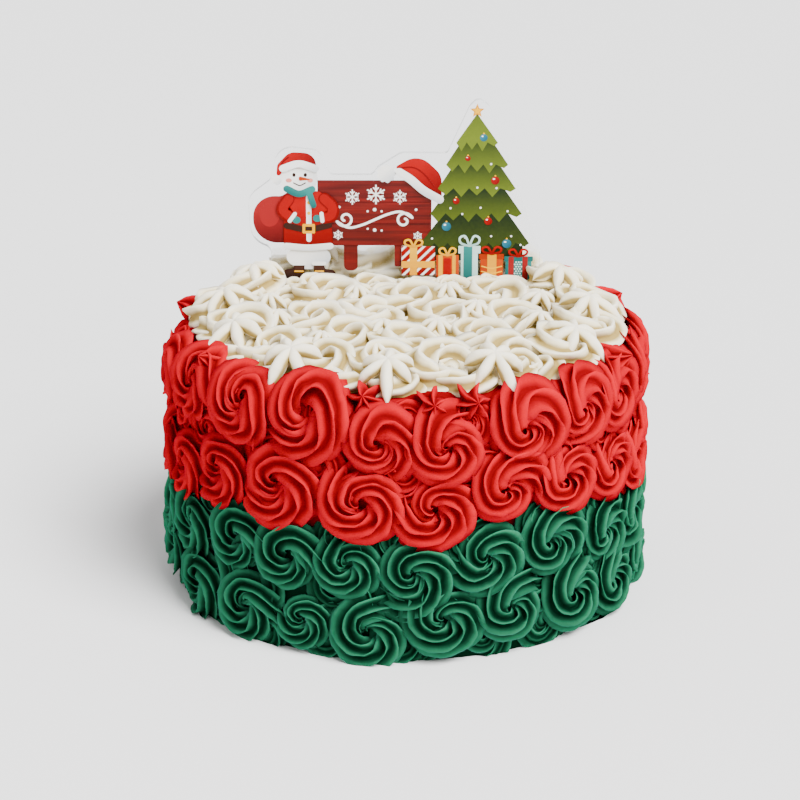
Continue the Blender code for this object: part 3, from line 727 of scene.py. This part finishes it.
PETAL_TREE = petal_tree()
rim_petals = []
for drop in whole_row(RIM_DROPS, DROPS_ROUND, -BACK_HIGHER):
    rim_petals += petals_of(*drop, LONGEST)
top_petals = []
for distance, count in TOP_DROPS:
    for number in range(count):
        azimuth = 360 * (number + chance.uniform(0.3, 0.7)) / count
        if -distance * math.cos(math.radians(azimuth)) * MM < NEAR_PLATE:
            top_petals += petals_of(azimuth, MIDDLE_CLIMB - distance, chance.uniform(7, 8.5),
                                    chance.uniform(10, 12.5), chance.uniform(-15, 15), 1)
grow("ivory_rim_drops", rim_petals, PETAL_TREE, PETAL_SIZES, *IVORY)
grow("ivory_top_drops", top_petals, PETAL_TREE, PETAL_SIZES, *IVORY)

# The clear plate of the topper
# A 3 mm sheet of clear acrylic, cut by laser round the pictures that are printed on its face. Its
# edges are polished and catch the light, and its foot stands in the ivory icing.
PLATE_THICK = 3 * MM
EDGE_WIDTH = 0.35 * MM
ARC_STEPS = 10
PLATE_OUTLINE = (                # corners of x, z and rounding in mm
    (-54, 110.5, 2), (54, 110.5, 2), (54, 118.5, 0), (62, 118.5, 1.5), (62, 134, 6), (38, 203, 3),
    (33, 207, 3), (29, 203, 3), (19, 180.8, 2), (-2, 181, 6), (-13, 174, 4), (-15, 170.5, 3),
    (-35, 170.5, 3), (-39, 182, 7), (-58, 184, 8), (-62, 168, 3), (-72.5, 160, 9), (-71, 138, 10),
    (-62, 136, 4), (-62, 118.5, 1.5), (-54, 118.5, 0),
)


def rounded(*corners):
    """A closed line through corners of x, z and rounding radius."""
    line = []
    for number, (x, z, rounding) in enumerate(corners):
        here = Vector((x, z))
        before = (Vector(corners[number - 1][:2]) - here).normalized()
        after = (Vector(corners[(number + 1) % len(corners)][:2]) - here).normalized()
        half = before.angle(after) / 2
        if rounding == 0 or half > 1.5:
            line.append(here)
            continue
        middle = here + (before + after).normalized() * rounding / math.sin(half)
        start = here + before * rounding / math.tan(half) - middle
        turn = math.copysign(math.pi - 2 * half, start.cross(here - middle))
        for step in range(ARC_STEPS + 1):
            spoke = start.copy()
            spoke.rotate(Matrix.Rotation(turn * step / ARC_STEPS, 2))
            line.append(middle + spoke)
    return line


def add_sheet(shape, outline, back, front):
    """A flat piece with an outline in mm, between two depths; returns its corners and faces."""
    rings = [[shape.verts.new((point.x * MM, depth, point.y * MM)) for point in outline]
             for depth in (back, front)]
    faces = [shape.faces.new(rings[0]), shape.faces.new(rings[1][::-1])]
    for here in range(len(outline)):
        after = (here + 1) % len(outline)
        faces.append(shape.faces.new((rings[0][after], rings[0][here],
                                      rings[1][here], rings[1][after])))
    return rings[0] + rings[1], faces


acrylic, tree, shader = add_material("clear acrylic")
fill(tree, shader, {
    "Base Color": (0.985, 0.99, 0.99, 1), "Roughness": 0.04, "IOR": 1.49,
    "Transmission Weight": 1, "Alpha": 0.4,
    "Normal": bumps(tree, noise(tree, on_piece(tree), 60), 0.1, 0.1 * MM)})
cut_edge, tree, shader = add_material("cut acrylic edge")
melt = noise(tree, on_piece(tree), 900)["Fac"]
fill(tree, shader, {
    "Base Color": (0.93, 0.95, 0.95, 1), "Roughness": eased(tree, melt, 0, 1, 0.15, 0.45),
    "IOR": 1.49, "Transmission Weight": 0.45})

sheet = bmesh.new()
sheet_faces = add_sheet(sheet, rounded(*PLATE_OUTLINE), PLATE_MIDDLE + PLATE_THICK / 2,
                        PLATE_MIDDLE - PLATE_THICK / 2)[1]
for face in sheet_faces[2:]:
    face.material_index = 1
plate = keep_piece("clear_plate", mesh_of("clear_plate", sheet, acrylic, cut_edge),
                   "topper_plate")
edges = plate.modifiers.new("polished edges", "BEVEL")
edges.width = EDGE_WIDTH
edges.segments = 2
edges.limit_method = "ANGLE"
edges.angle_limit = math.radians(60)

# The snowman and its sack
# The figure printed at the left of the plate: a plain snowman in a red cap and a belted coat, with
# a full sack behind it. Each field of colour is a coat of ink, and the coats lie one on another.
COAT_THICK = 0.05 * MM
FIRST_PRINT = 0.3 * MM           # how far a print stands before the plate
NEXT_PRINT = 0.6 * MM            # and how much further one that lies over another
SPECKLE = 0.12                   # the share of speckle in a tone
BRUSH_STEPS = 6


def ink(name, low, high):
    """Glossy printing ink that runs from one tone to another, with the speckle of a fine print."""
    material, tree, shader = add_material(name)
    tone = uneven_mark(tree, "tone", SPECKLE, noise(tree, on_piece(tree), 700))
    fill(tree, shader, {"Base Color": colours(tree, tone, (0, low), (1, high)),
                        "Roughness": 0.38, "Specular IOR Level": 0.12})
    return material


INKS = {name: ink(f"{name} ink", low, high) for name, low, high in (
    ("bright red", (0.12, 0.000, 0.001), (0.34, 0.000, 0.001)),
    ("dark red", (0.055, 0.002, 0.003), (0.27, 0.010, 0.012)),
    ("white", (0.50, 0.53, 0.58), (0.90, 0.90, 0.88)),
    ("brown", (0.010, 0.004, 0.003), (0.045, 0.015, 0.010)),
    ("gold", (0.62, 0.24, 0.000), (0.84, 0.42, 0.000)),
    ("orange", (0.30, 0.018, 0.000), (0.48, 0.055, 0.000)),
    ("teal", (0.006, 0.080, 0.080), (0.02, 0.19, 0.18)),
    ("pale teal", (0.22, 0.44, 0.41), (0.50, 0.72, 0.68)),
    ("blue", (0.004, 0.06, 0.10), (0.02, 0.17, 0.25)),
    ("pink", (0.60, 0.14, 0.11), (0.80, 0.32, 0.26)),
    ("fir green", (0.010, 0.020, 0.006), (0.112, 0.155, 0.012)),
)}


def oval(x, z, width, height, steps=32):
    """A closed oval line, given by its middle and its half sizes."""
    return [Vector((x + width * math.cos(math.tau * step / steps),
                    z + height * math.sin(math.tau * step / steps))) for step in range(steps)]


def field(left, right, bottom, top, corner=0.4):
    """A four-cornered field with just rounded corners."""
    return rounded((left, bottom, corner), (right, bottom, corner), (right, top, corner),
                   (left, top, corner))


def smooth(points, steps=BRUSH_STEPS):
    """A smooth line through some points."""
    points = [Vector(point) for point in points]
    ends = [2 * points[0] - points[1], *points, 2 * points[-1] - points[-2]]
    line = []
    for a, b, c, d in zip(ends, ends[1:], ends[2:], ends[3:]):
        for step in range(steps):
            t = step / steps
            line.append(0.5 * (2 * b + (c - a) * t + (2 * a - 5 * b + 4 * c - d) * t ** 2
                               + (3 * b - a - 3 * c + d) * t ** 3))
    return line + [points[-1]]


def stroke(line, width):
    """The closed outline of a line drawn with a round brush."""
    sides = ([], [])
    for number, here in enumerate(line):
        way = (line[min(number + 1, len(line) - 1)] - line[max(number - 1, 0)]).normalized()
        across = way.orthogonal() * width / 2
        sides[0].append(here + across)
        sides[1].append(here - across)
    caps = []
    for here, edge in ((line[-1], sides[0][-1]), (line[0], sides[1][0])):
        cap = []
        for step in range(1, BRUSH_STEPS):
            spoke = edge - here
            spoke.rotate(Matrix.Rotation(-math.pi * step / BRUSH_STEPS, 2))
            cap.append(here + spoke)
        caps.append(cap)
    return sides[0] + caps[0] + sides[1][::-1] + caps[1]


def brushed(width, *points):
    """A stroke that runs smoothly through some points, or straight between two."""
    return stroke(smooth(points) if len(points) > 2 else [Vector(point) for point in points],
                  width)


def printed(name, node, layer, coats):
    """One printed motif. A coat is its height in the pile, ink, tone and outline; the tone is one
    number, or two places in mm between which it runs from low to high."""
    shape = bmesh.new()
    tone_of = shape.verts.layers.float.new("tone")
    used = []
    for coat, colour, tone, outline in coats:
        back = (PLATE_MIDDLE - PLATE_THICK / 2 - FIRST_PRINT - NEXT_PRINT * layer
                - COAT_THICK * coat)
        corners, faces = add_sheet(shape, outline, back, back - COAT_THICK)
        if colour not in used:
            used.append(colour)
        for face in faces:
            face.material_index = used.index(colour)
        for corner in corners:
            if isinstance(tone, tuple):
                start, end = Vector(tone[0]), Vector(tone[1])
                along = Vector((corner.co.x, corner.co.z)) / MM - start
                corner[tone_of] = along.dot(end - start) / (end - start).length_squared
            else:
                corner[tone_of] = tone
    mesh = mesh_of(name, shape, *[INKS[colour] for colour in used])
    keep_piece(name, mesh, node)


printed("sack", "print_sack", 0, [
    (0, "dark red", ((-58, 138), (-60, 156)), rounded(
        (-70, 138.2, 11), (-70, 161, 10), (-57, 160.5, 4), (-50, 165, 1.5), (-44, 163, 1),
        (-44, 138.2, 4))),
    (1, "dark red", 1.1, oval(-62.5, 151.5, 4.6, 5.6)),
    (1, "dark red", -0.2, brushed(0.7, (-50.5, 162), (-55.5, 158.5), (-58.5, 153))),
    (1, "dark red", -0.2, brushed(0.7, (-49.5, 161), (-53.5, 156.5), (-55.5, 149))),
])
printed("snow_ball", "print_snow_base", 0, [
    (0, "white", ((-38, 126), (-46, 134)), oval(-44.7, 131.4, 10.2, 6.0)),
])
for number, (heel, toe) in enumerate(((-46.6, -57), (-42.4, -32.2)), 1):
    way = math.copysign(1, toe - heel)
    printed(f"boot_{number}", f"print_boot_{number}", 1, [
        (0, "brown", ((heel, 121), (heel, 128)), rounded(
            (heel, 120.8, 1), (toe, 120.8, 2), (toe, 125.2, 2.4), (heel + 5.2 * way, 125.8, 1),
            (heel + 4.8 * way, 128.4, 0.6), (heel, 128.4, 0.6))),
        (1, "gold", 0.6, brushed(0.8, (heel + 0.8 * way, 124.6), (heel + 4.4 * way, 124.6))),
        (1, "white", 0.8, brushed(1.8, (heel, 128.4), (heel + 5 * way, 128.4))),
    ])
printed("coat", "print_coat", 1, [
    (0, "bright red", ((-45, 134), (-46, 158)), rounded(
        (-56.2, 136, 3), (-33.3, 136, 3), (-34.3, 150, 4), (-37.5, 163.2, 5), (-52.8, 163.2, 5),
        (-55.8, 150, 4))),
    (1, "white", ((-45, 133), (-45, 138)), brushed(3, (-55, 136.8), (-45, 136), (-34.6, 136.8))),
    (1, "white", ((-42, 150), (-46, 150)), brushed(2.4, (-44.4, 161), (-44.4, 140))),
    (2, "brown", 0.5, brushed(3, (-54.6, 146.6), (-45, 144.8), (-35.2, 146.8))),
    (3, "gold", 0.5, field(-47.4, -41.6, 142.9, 147.5, 0.6)),
    (4, "brown", 0.5, field(-46.1, -42.9, 144.2, 146.2, 0.2)),
    (2, "gold", 0.7, oval(-44.4, 157.6, 0.8, 0.8, 14)),
    (2, "gold", 0.7, oval(-44.4, 152.6, 0.8, 0.8, 14)),
    (3, "bright red", 0.15, brushed(5.6, (-53.6, 159.4), (-56.6, 154.4), (-53, 150.4))),
    (4, "bright red", 0.75, brushed(4.2, (-53.4, 159.4), (-56.2, 154.4), (-52.6, 150.6))),
    (6, "white", 0.9, brushed(1.8, (-53.2, 148.9), (-50.8, 152.3))),
    (5, "teal", 0.7, oval(-50.1, 149.4, 1.9, 1.7, 20)),
    (3, "bright red", 0.15, brushed(5.6, (-37.2, 159.6), (-33.4, 155.6), (-34, 151.4),
                                    (-37.4, 150.4))),
    (4, "bright red", 0.75, brushed(4.2, (-37.4, 159.6), (-33.7, 155.6), (-34.4, 151.6),
                                    (-37.4, 150.6))),
    (6, "white", 0.9, brushed(1.8, (-38.2, 148.9), (-38.6, 152.5))),
    (5, "teal", 0.7, oval(-40.6, 150.2, 1.9, 1.7, 20)),
])
printed("head", "print_head", 2, [
    (0, "white", ((-42, 161), (-50, 171)), oval(-48.7, 169.6, 8.5, 8.1, 40)),
    (1, "teal", ((-50, 160), (-48, 165)), brushed(3.2, (-54.4, 164.4), (-48.7, 162),
                                                  (-42.8, 164.2))),
    (2, "teal", ((-44, 155), (-43, 163)), brushed(2.8, (-44, 162.2), (-42.2, 156.6))),
    (1, "pink", 0.5, oval(-53.4, 168.4, 1.4, 1.0, 18)),
    (1, "pink", 0.5, oval(-43.6, 168.4, 1.3, 1.0, 18)),
    (1, "brown", 0.3, oval(-51.0, 171.0, 0.75, 0.95, 16)),
    (1, "brown", 0.3, oval(-45.8, 171.0, 0.75, 0.95, 16)),
    (1, "brown", 0.6, brushed(0.5, (-51.2, 167.2), (-48.4, 166.0), (-45.8, 167.2))),
    (2, "orange", ((-49, 168), (-43, 170)), rounded((-48.8, 170.4, 0.6), (-48.8, 168.2, 0.6),
                                                    (-42.4, 168.8, 0.3))),
])
printed("cap", "print_cap", 3, [
    (0, "bright red", ((-44, 172), (-54, 181)), rounded(
        (-40.6, 174.4, 1), (-41.6, 181.4, 6), (-53, 182, 6), (-58.6, 176, 3), (-59.2, 169, 1),
        (-56.8, 171.6, 1.5), (-56.2, 174.4, 0.5))),
    (1, "bright red", -0.1, brushed(0.6, (-53.5, 179.5), (-56.2, 177), (-56.6, 174.6))),
    (2, "white", ((-48, 171), (-49, 176)), brushed(3.4, (-56, 174.2), (-48.7, 176.4),
                                                   (-41.2, 174.2))),
    (1, "white", ((-57, 166), (-59, 170)), oval(-58.8, 168.6, 2.1, 2.1, 20)),
])

# The plank sign
# A board of three dark red planks on two posts, printed with a white scroll and snowflakes.
# Paint over wood grain is printed on it too, and thin dark lines part the planks.
SIGN_OUTLINE = (
    (-40.4, 137, 0), (-28.4, 137, 0.6), (-28.4, 124.8, 2.6), (-22, 124.8, 2.6), (-22, 137, 0.6),
    (-5, 137, 0.6), (-5, 126.8, 0.8), (-1.9, 126.8, 0.8), (-1.9, 137, 0), (11.8, 137, 4),
    (12, 168.2, 6), (-40.4, 168.2, 0),
)
PLANK_SEAMS = (147.4, 157.8)
POSTS = ((-25.2, 6.4), (-3.4, 3.1))      # middle and width
SNOWFLAKES = (                           # x, z and reach
    (-24.4, 160.2, 3.6), (-13.6, 161.4, 4.6), (-2.6, 160.2, 3.4), (5.6, 141.6, 2.2),
    (-31.0, 142.0, 2.4),
)
DOTS = (                                 # x, z and size
    (-14.2, 154.2, 0.8), (-17.4, 153.4, 0.5), (-11.0, 153.4, 0.5), (-14.2, 144.4, 0.8),
    (-17.4, 145.0, 0.5), (-11.0, 144.2, 0.5), (-30.4, 155.4, 0.6), (4.8, 154.2, 0.6),
)
SCROLL_MIDDLE = Vector((-14.2, 149.4))
SCROLL_WIDTH = 1.15
CURL_STEPS = 24


def painted_planks():
    """Dark red paint that shows the grain and the joints of the boards under it."""
    material, tree, shader = add_material("painted planks")
    stretch = made(tree, "ShaderNodeMapping", {"Vector": on_piece(tree), "Scale": (22, 1, 420)})
    grain = noise(tree, stretch, 1, 5, 0.6)["Fac"]
    fill(tree, shader, {
        "Base Color": colours(tree, grain, (0.30, (0.052, 0.0005, 0.001)),
                              (0.72, (0.185, 0.005, 0.004))),
        "Roughness": 0.42, "Specular IOR Level": 0.25})
    return material


def snowflake(x, z, reach):
    """The outline of a snowflake: six arms with a pair of barbs on each."""
    half = 0.075
    side = ((half * math.sqrt(3), -half), (0.42, -half), (0.68, -0.32), (0.78, -0.22),
            (0.62, -half), (1, -half))
    arm = [Vector(point) for point in side] + [Vector((u, -v)) for u, v in side[:0:-1]]
    return [Vector((x, z)) + reach * (Matrix.Rotation(math.radians(60 * number + 30), 2) @ point)
            for number in range(6) for point in arm]


def scroll():
    """A flourish with a curl at each end, alike upside down: two curls and one sweep."""
    curl = []
    for step in range(CURL_STEPS + 1):
        turn = math.radians(600 - 400 * step / CURL_STEPS)
        reach = 1.0 + 3.0 * step / CURL_STEPS
        curl.append(SCROLL_MIDDLE + Vector((-13.5 + reach * math.cos(turn),
                                            0.4 + reach * math.sin(turn))))
    half = smooth((curl[-1], SCROLL_MIDDLE + Vector((-12, -3.8)),
                   SCROLL_MIDDLE + Vector((-6, -2.6)), SCROLL_MIDDLE), 8)
    turned = [[2 * SCROLL_MIDDLE - point for point in line[::-1]] for line in (curl, half)]
    return curl, turned[0], half + turned[1][1:]


INKS["planks"] = painted_planks()
printed("plank_sign", "print_sign", 0, [
    (0, "planks", 0.5, rounded(*SIGN_OUTLINE)),
    *[(1, "dark red", -0.2, brushed(0.35, (-39.5, seam), (11, seam))) for seam in PLANK_SEAMS],
    *[(1, "dark red", 0.0, brushed(0.5, (post - width / 2, 136.9), (post + width / 2, 136.9)))
      for post, width in POSTS],
    *[(2, "white", 1.0, snowflake(*flake)) for flake in SNOWFLAKES],
    *[(coat, "white", 1.0, stroke(line, SCROLL_WIDTH)) for coat, line in enumerate(scroll(), 2)],
    *[(2, "white", 1.0, oval(x, z, size, size, 16)) for x, z, size in DOTS],
])

# The red hat on the sign
# A soft red hat with a white band and a white bobble, hung over the corner of the sign. It is
# printed like the rest, the band and the bobble over the red.
BOBBLE_MIDDLE = Vector((-8.8, 171.6))
BOBBLE_RADIUS = 4.1
BOBBLE_WAVE = 0.35
BOBBLE_WAVES = 9
BOBBLE_STEPS = 54

bobble = []
for step in range(BOBBLE_STEPS):
    turn = math.tau * step / BOBBLE_STEPS
    reach = BOBBLE_RADIUS + BOBBLE_WAVE * math.cos(BOBBLE_WAVES * turn)
    bobble.append(BOBBLE_MIDDLE + reach * Vector((math.cos(turn), math.sin(turn))))
printed("hat", "print_hat", 1, [
    (0, "bright red", ((15, 162), (4, 175)), rounded(
        (16.6, 159.6, 0.5), (16.4, 171, 8), (6, 181, 9), (-5, 174.6, 1), (4.5, 167, 5))),
    (1, "bright red", 0.1, brushed(0.7, (-3, 174.2), (3.5, 174.4), (8.5, 171.2), (13, 165.5))),
])
printed("hat_band", "print_brim", 2, [
    (0, "white", ((5, 163), (7, 167)), brushed(3.9, (-3.0, 172.4), (2.2, 169), (8.4, 163.6),
                                               (15.6, 159.4))),
])
printed("hat_bobble", "print_bobble", 2, [
    (0, "white", ((-6, 168), (-10, 173)), bobble),
])

# The fir tree
# Five tiers of green with toothed feet, each darker at its top, hung with baubles and a gold star.
# The upper tiers lie over the lower ones, and the baubles over them all.
TREE_MIDDLE = 32.4
TREE_TOP = 199.6
TIERS = (                        # height of the foot, left and right ends, teeth, tones
    (186.2, 23.0, 42.0, 4, 0.60, 1.0), (175.8, 18.4, 46.8, 5, -0.05, 0.70),
    (164.5, 14.8, 50.4, 5, -0.16, 0.70), (152.5, 11.4, 53.4, 6, -0.22, 0.42),
    (138.3, 7.0, 57.0, 8, -0.15, 0.16),
)
TREE_TIP = 0.2                   # half the width of the tree's tip
TIER_LAP = 2.5                   # how far a tier starts above the foot of the one over it
TIER_NECK = 0.62                 # and how wide it is there, against that foot
TOOTH = 4.0                      # how far the teeth of a tier hang down, in mm
BAUBLES = (                      # x, z, size and ink
    (35.5, 188.6, 1.7, "blue"), (28.4, 178.8, 1.2, "bright red"), (41.0, 168.4, 1.9, "bright red"),
    (23.2, 158.6, 1.5, "bright red"), (38.0, 149.0, 1.8, "bright red"), (18.8, 146.4, 2.1, "blue"),
    (46.6, 138.2, 2.1, "blue"),
)
WHITE_LIGHTS = (
    (39.0, 176.2), (32.8, 165.0), (41.6, 164.8), (20.6, 155.2), (26.0, 152.4), (34.4, 155.4),
    (46.8, 153.8), (27.4, 141.0), (39.4, 141.8), (48.6, 141.8), (12.2, 140.6), (53.0, 137.6),
)
STAR_MIDDLE = (TREE_MIDDLE, 201.2)

tree_coats = [(0, "fir green", -0.1, field(12, 54, 130, 139))]
above, half_top = TREE_TOP, TREE_TIP
for number, (foot, left, right, teeth, dark, light) in enumerate(TIERS):
    step = (right - left) / teeth
    outline = [Vector((TREE_MIDDLE + half_top, above)), Vector((right, foot))]
    for tooth in range(teeth):
        tip = foot - TOOTH * (0.8 + 0.2 * (tooth % 2))
        gap = foot + (0.2 if tooth < teeth - 1 else 0)
        outline.append(Vector((right - step * (tooth + 0.5), tip)))
        outline.append(Vector((right - step * (tooth + 1), gap)))
    outline[2] = Vector((right - step * 0.35, foot - TOOTH * 0.4))
    outline.append(Vector((TREE_MIDDLE - half_top, above)))
    full_run = (above - foot) / (light - dark)
    darkest = above + dark * full_run
    tone = ((0, darkest), (0, darkest - full_run))
    tree_coats.append((len(TIERS) - number, "fir green", tone, outline))
    above = foot + TIER_LAP
    half_top = 0.5 * (right - left) * TIER_NECK
for x, z, size, colour in BAUBLES:
    glint = oval(x - 0.35 * size, z + 0.4 * size, 0.28 * size, 0.2 * size, 10)
    tree_coats += [
        (6, colour, ((x + size, z - size), (x - size, z + size)), oval(x, z, size, size, 24)),
        (7, "white", 1, glint),
        (6, "gold", 0.8, oval(x, z + size + 0.3, 0.4, 0.4, 10)),
    ]
for x, z in WHITE_LIGHTS:
    tree_coats.append((6, "white", 0.8, oval(x, z, 0.5, 0.5, 12)))
printed("fir_tree", "print_tree", 1, tree_coats)


def star(x, z, reach):
    """A five-pointed star."""
    return [Vector((x + reach * size * math.cos(turn), z + reach * size * math.sin(turn)))
            for turn, size in ((math.pi / 2 + math.pi * step / 5, 1 - 0.55 * (step % 2))
                               for step in range(10))]


printed("tree_star", "print_star", 2, [
    (0, "gold", 0.0, star(*STAR_MIDDLE, 3.4)),
    (1, "gold", 1.0, star(*STAR_MIDDLE, 2.1)),
])

# The gifts
# Five wrapped boxes under the tree, each with a ribbon round it and a bow on its lid. A box is one
# field of ink, and its lid, stripes, ribbon and bow lie over it.


def bow(coat, colour, x, z, width, height):
    """A bow of two loops and a knot over a place on the lid."""
    coats = []
    for way in (-width, width):
        loop = brushed(1.0, (x, z), (x + 0.45 * way, z + height), (x + way, z + 0.85 * height),
                       (x + 0.9 * way, z + 0.3 * height), (x + 0.1 * way, z))
        coats.append((coat, colour, ((x, z - 1), (x, z + height)), loop))
    return coats + [(coat + 1, colour, 0.3, oval(x, z + 0.3, 0.9, 0.8, 16))]


def stripes(left, right, bottom, top, wide, every):
    """Slanting stripes, cut off at the sides of a box."""
    bands = []
    height = top - bottom
    for number in range(-4, 6):
        ends = []
        for foot in (left + every * number, left + every * number + wide):
            for x, z in ((foot, bottom), (foot + height, top)):
                inside = min(max(x, left), right)
                ends.append(Vector((inside, z + (inside - x))))
        a, b, c, d = ends
        if b.x - a.x > 0.3 and d.x - c.x > 0.3:
            bands.append([a, c, d, b])
    return bands


GIFTS = (
    ("red_ink", [
        (0, "bright red", ((6, 121), (6, 145)), field(-1.8, 13.6, 123, 137)),
        *[(1, "white", 0.7, band) for band in stripes(-1.8, 13.6, 123, 137, 1.5, 4.3)],
        (2, "gold", ((4, 123), (4, 137)), field(2.0, 5.4, 123, 137)),
        (3, "gold", 0.4, field(-1.8, 13.6, 126.6, 129.8)),
        *bow(4, "gold", 3.7, 136.8, 3.9, 3.2)]),
    ("orange_ink", [
        (0, "orange", ((14, 122), (24, 133)), field(14.2, 24.6, 122.2, 132.8)),
        (1, "gold", 0.5, field(15.2, 17.2, 122.2, 132.8)),
        (1, "bright red", 0.7, field(17.6, 21.0, 122.2, 131.2)),
        (1, "gold", 0.5, field(21.6, 23.2, 122.2, 132.8)),
        *bow(2, "gold", 19.4, 132.6, 3.6, 3.4)]),
    ("teal_ink", [
        (0, "pale teal", ((26, 121), (33, 130)), field(25.6, 33.4, 120.8, 134)),
        (1, "pale teal", 0.9, field(24.4, 34.6, 133.6, 137.2)),
        (2, "teal", ((27, 121), (30, 137)), field(26.8, 30.8, 121.2, 137)),
        *bow(3, "pale teal", 29.5, 137.2, 4.4, 4.6)]),
    ("orange_ink", [
        (0, "orange", ((34, 122), (44, 133)), field(34.6, 45.0, 121.8, 131.6)),
        (1, "orange", 0.0, field(34.0, 45.4, 130.8, 133.4)),
        (2, "gold", 0.3, field(37.8, 42.0, 121.8, 133.2)),
        (3, "gold", 0.9, brushed(0.6, (35.2, 127.4), (39.8, 126.4), (44.4, 127.4))),
        (3, "gold", 0.9, brushed(0.6, (35.2, 124.9), (39.8, 123.9), (44.4, 124.9))),
        *bow(4, "bright red", 39.8, 133.4, 4.2, 3.2)]),
    ("teal_ink", [
        (0, "teal", ((46, 121), (58, 132)), field(46.2, 58.2, 120.8, 130.6)),
        (1, "teal", 0.2, field(45.6, 58.8, 129.8, 132.2)),
        (2, "dark red", 0.9, field(47.6, 50.0, 120.8, 132)),
        (2, "dark red", 0.9, field(54.0, 56.4, 120.8, 132)),
        *[(1, "pale teal", 0.8, oval(50.5 + 1.2 * column + 0.6 * (row % 2), 121.7 + 1.1 * row,
                                     0.42, 0.42, 8)) for row in range(8) for column in range(3)],
        *bow(3, "bright red", 52, 132.2, 4.0, 3.2)]),
)
for number, (slot, coats) in enumerate(GIFTS, 1):
    printed(f"gift_{number}", f"print_gift_{number}", 2, coats)
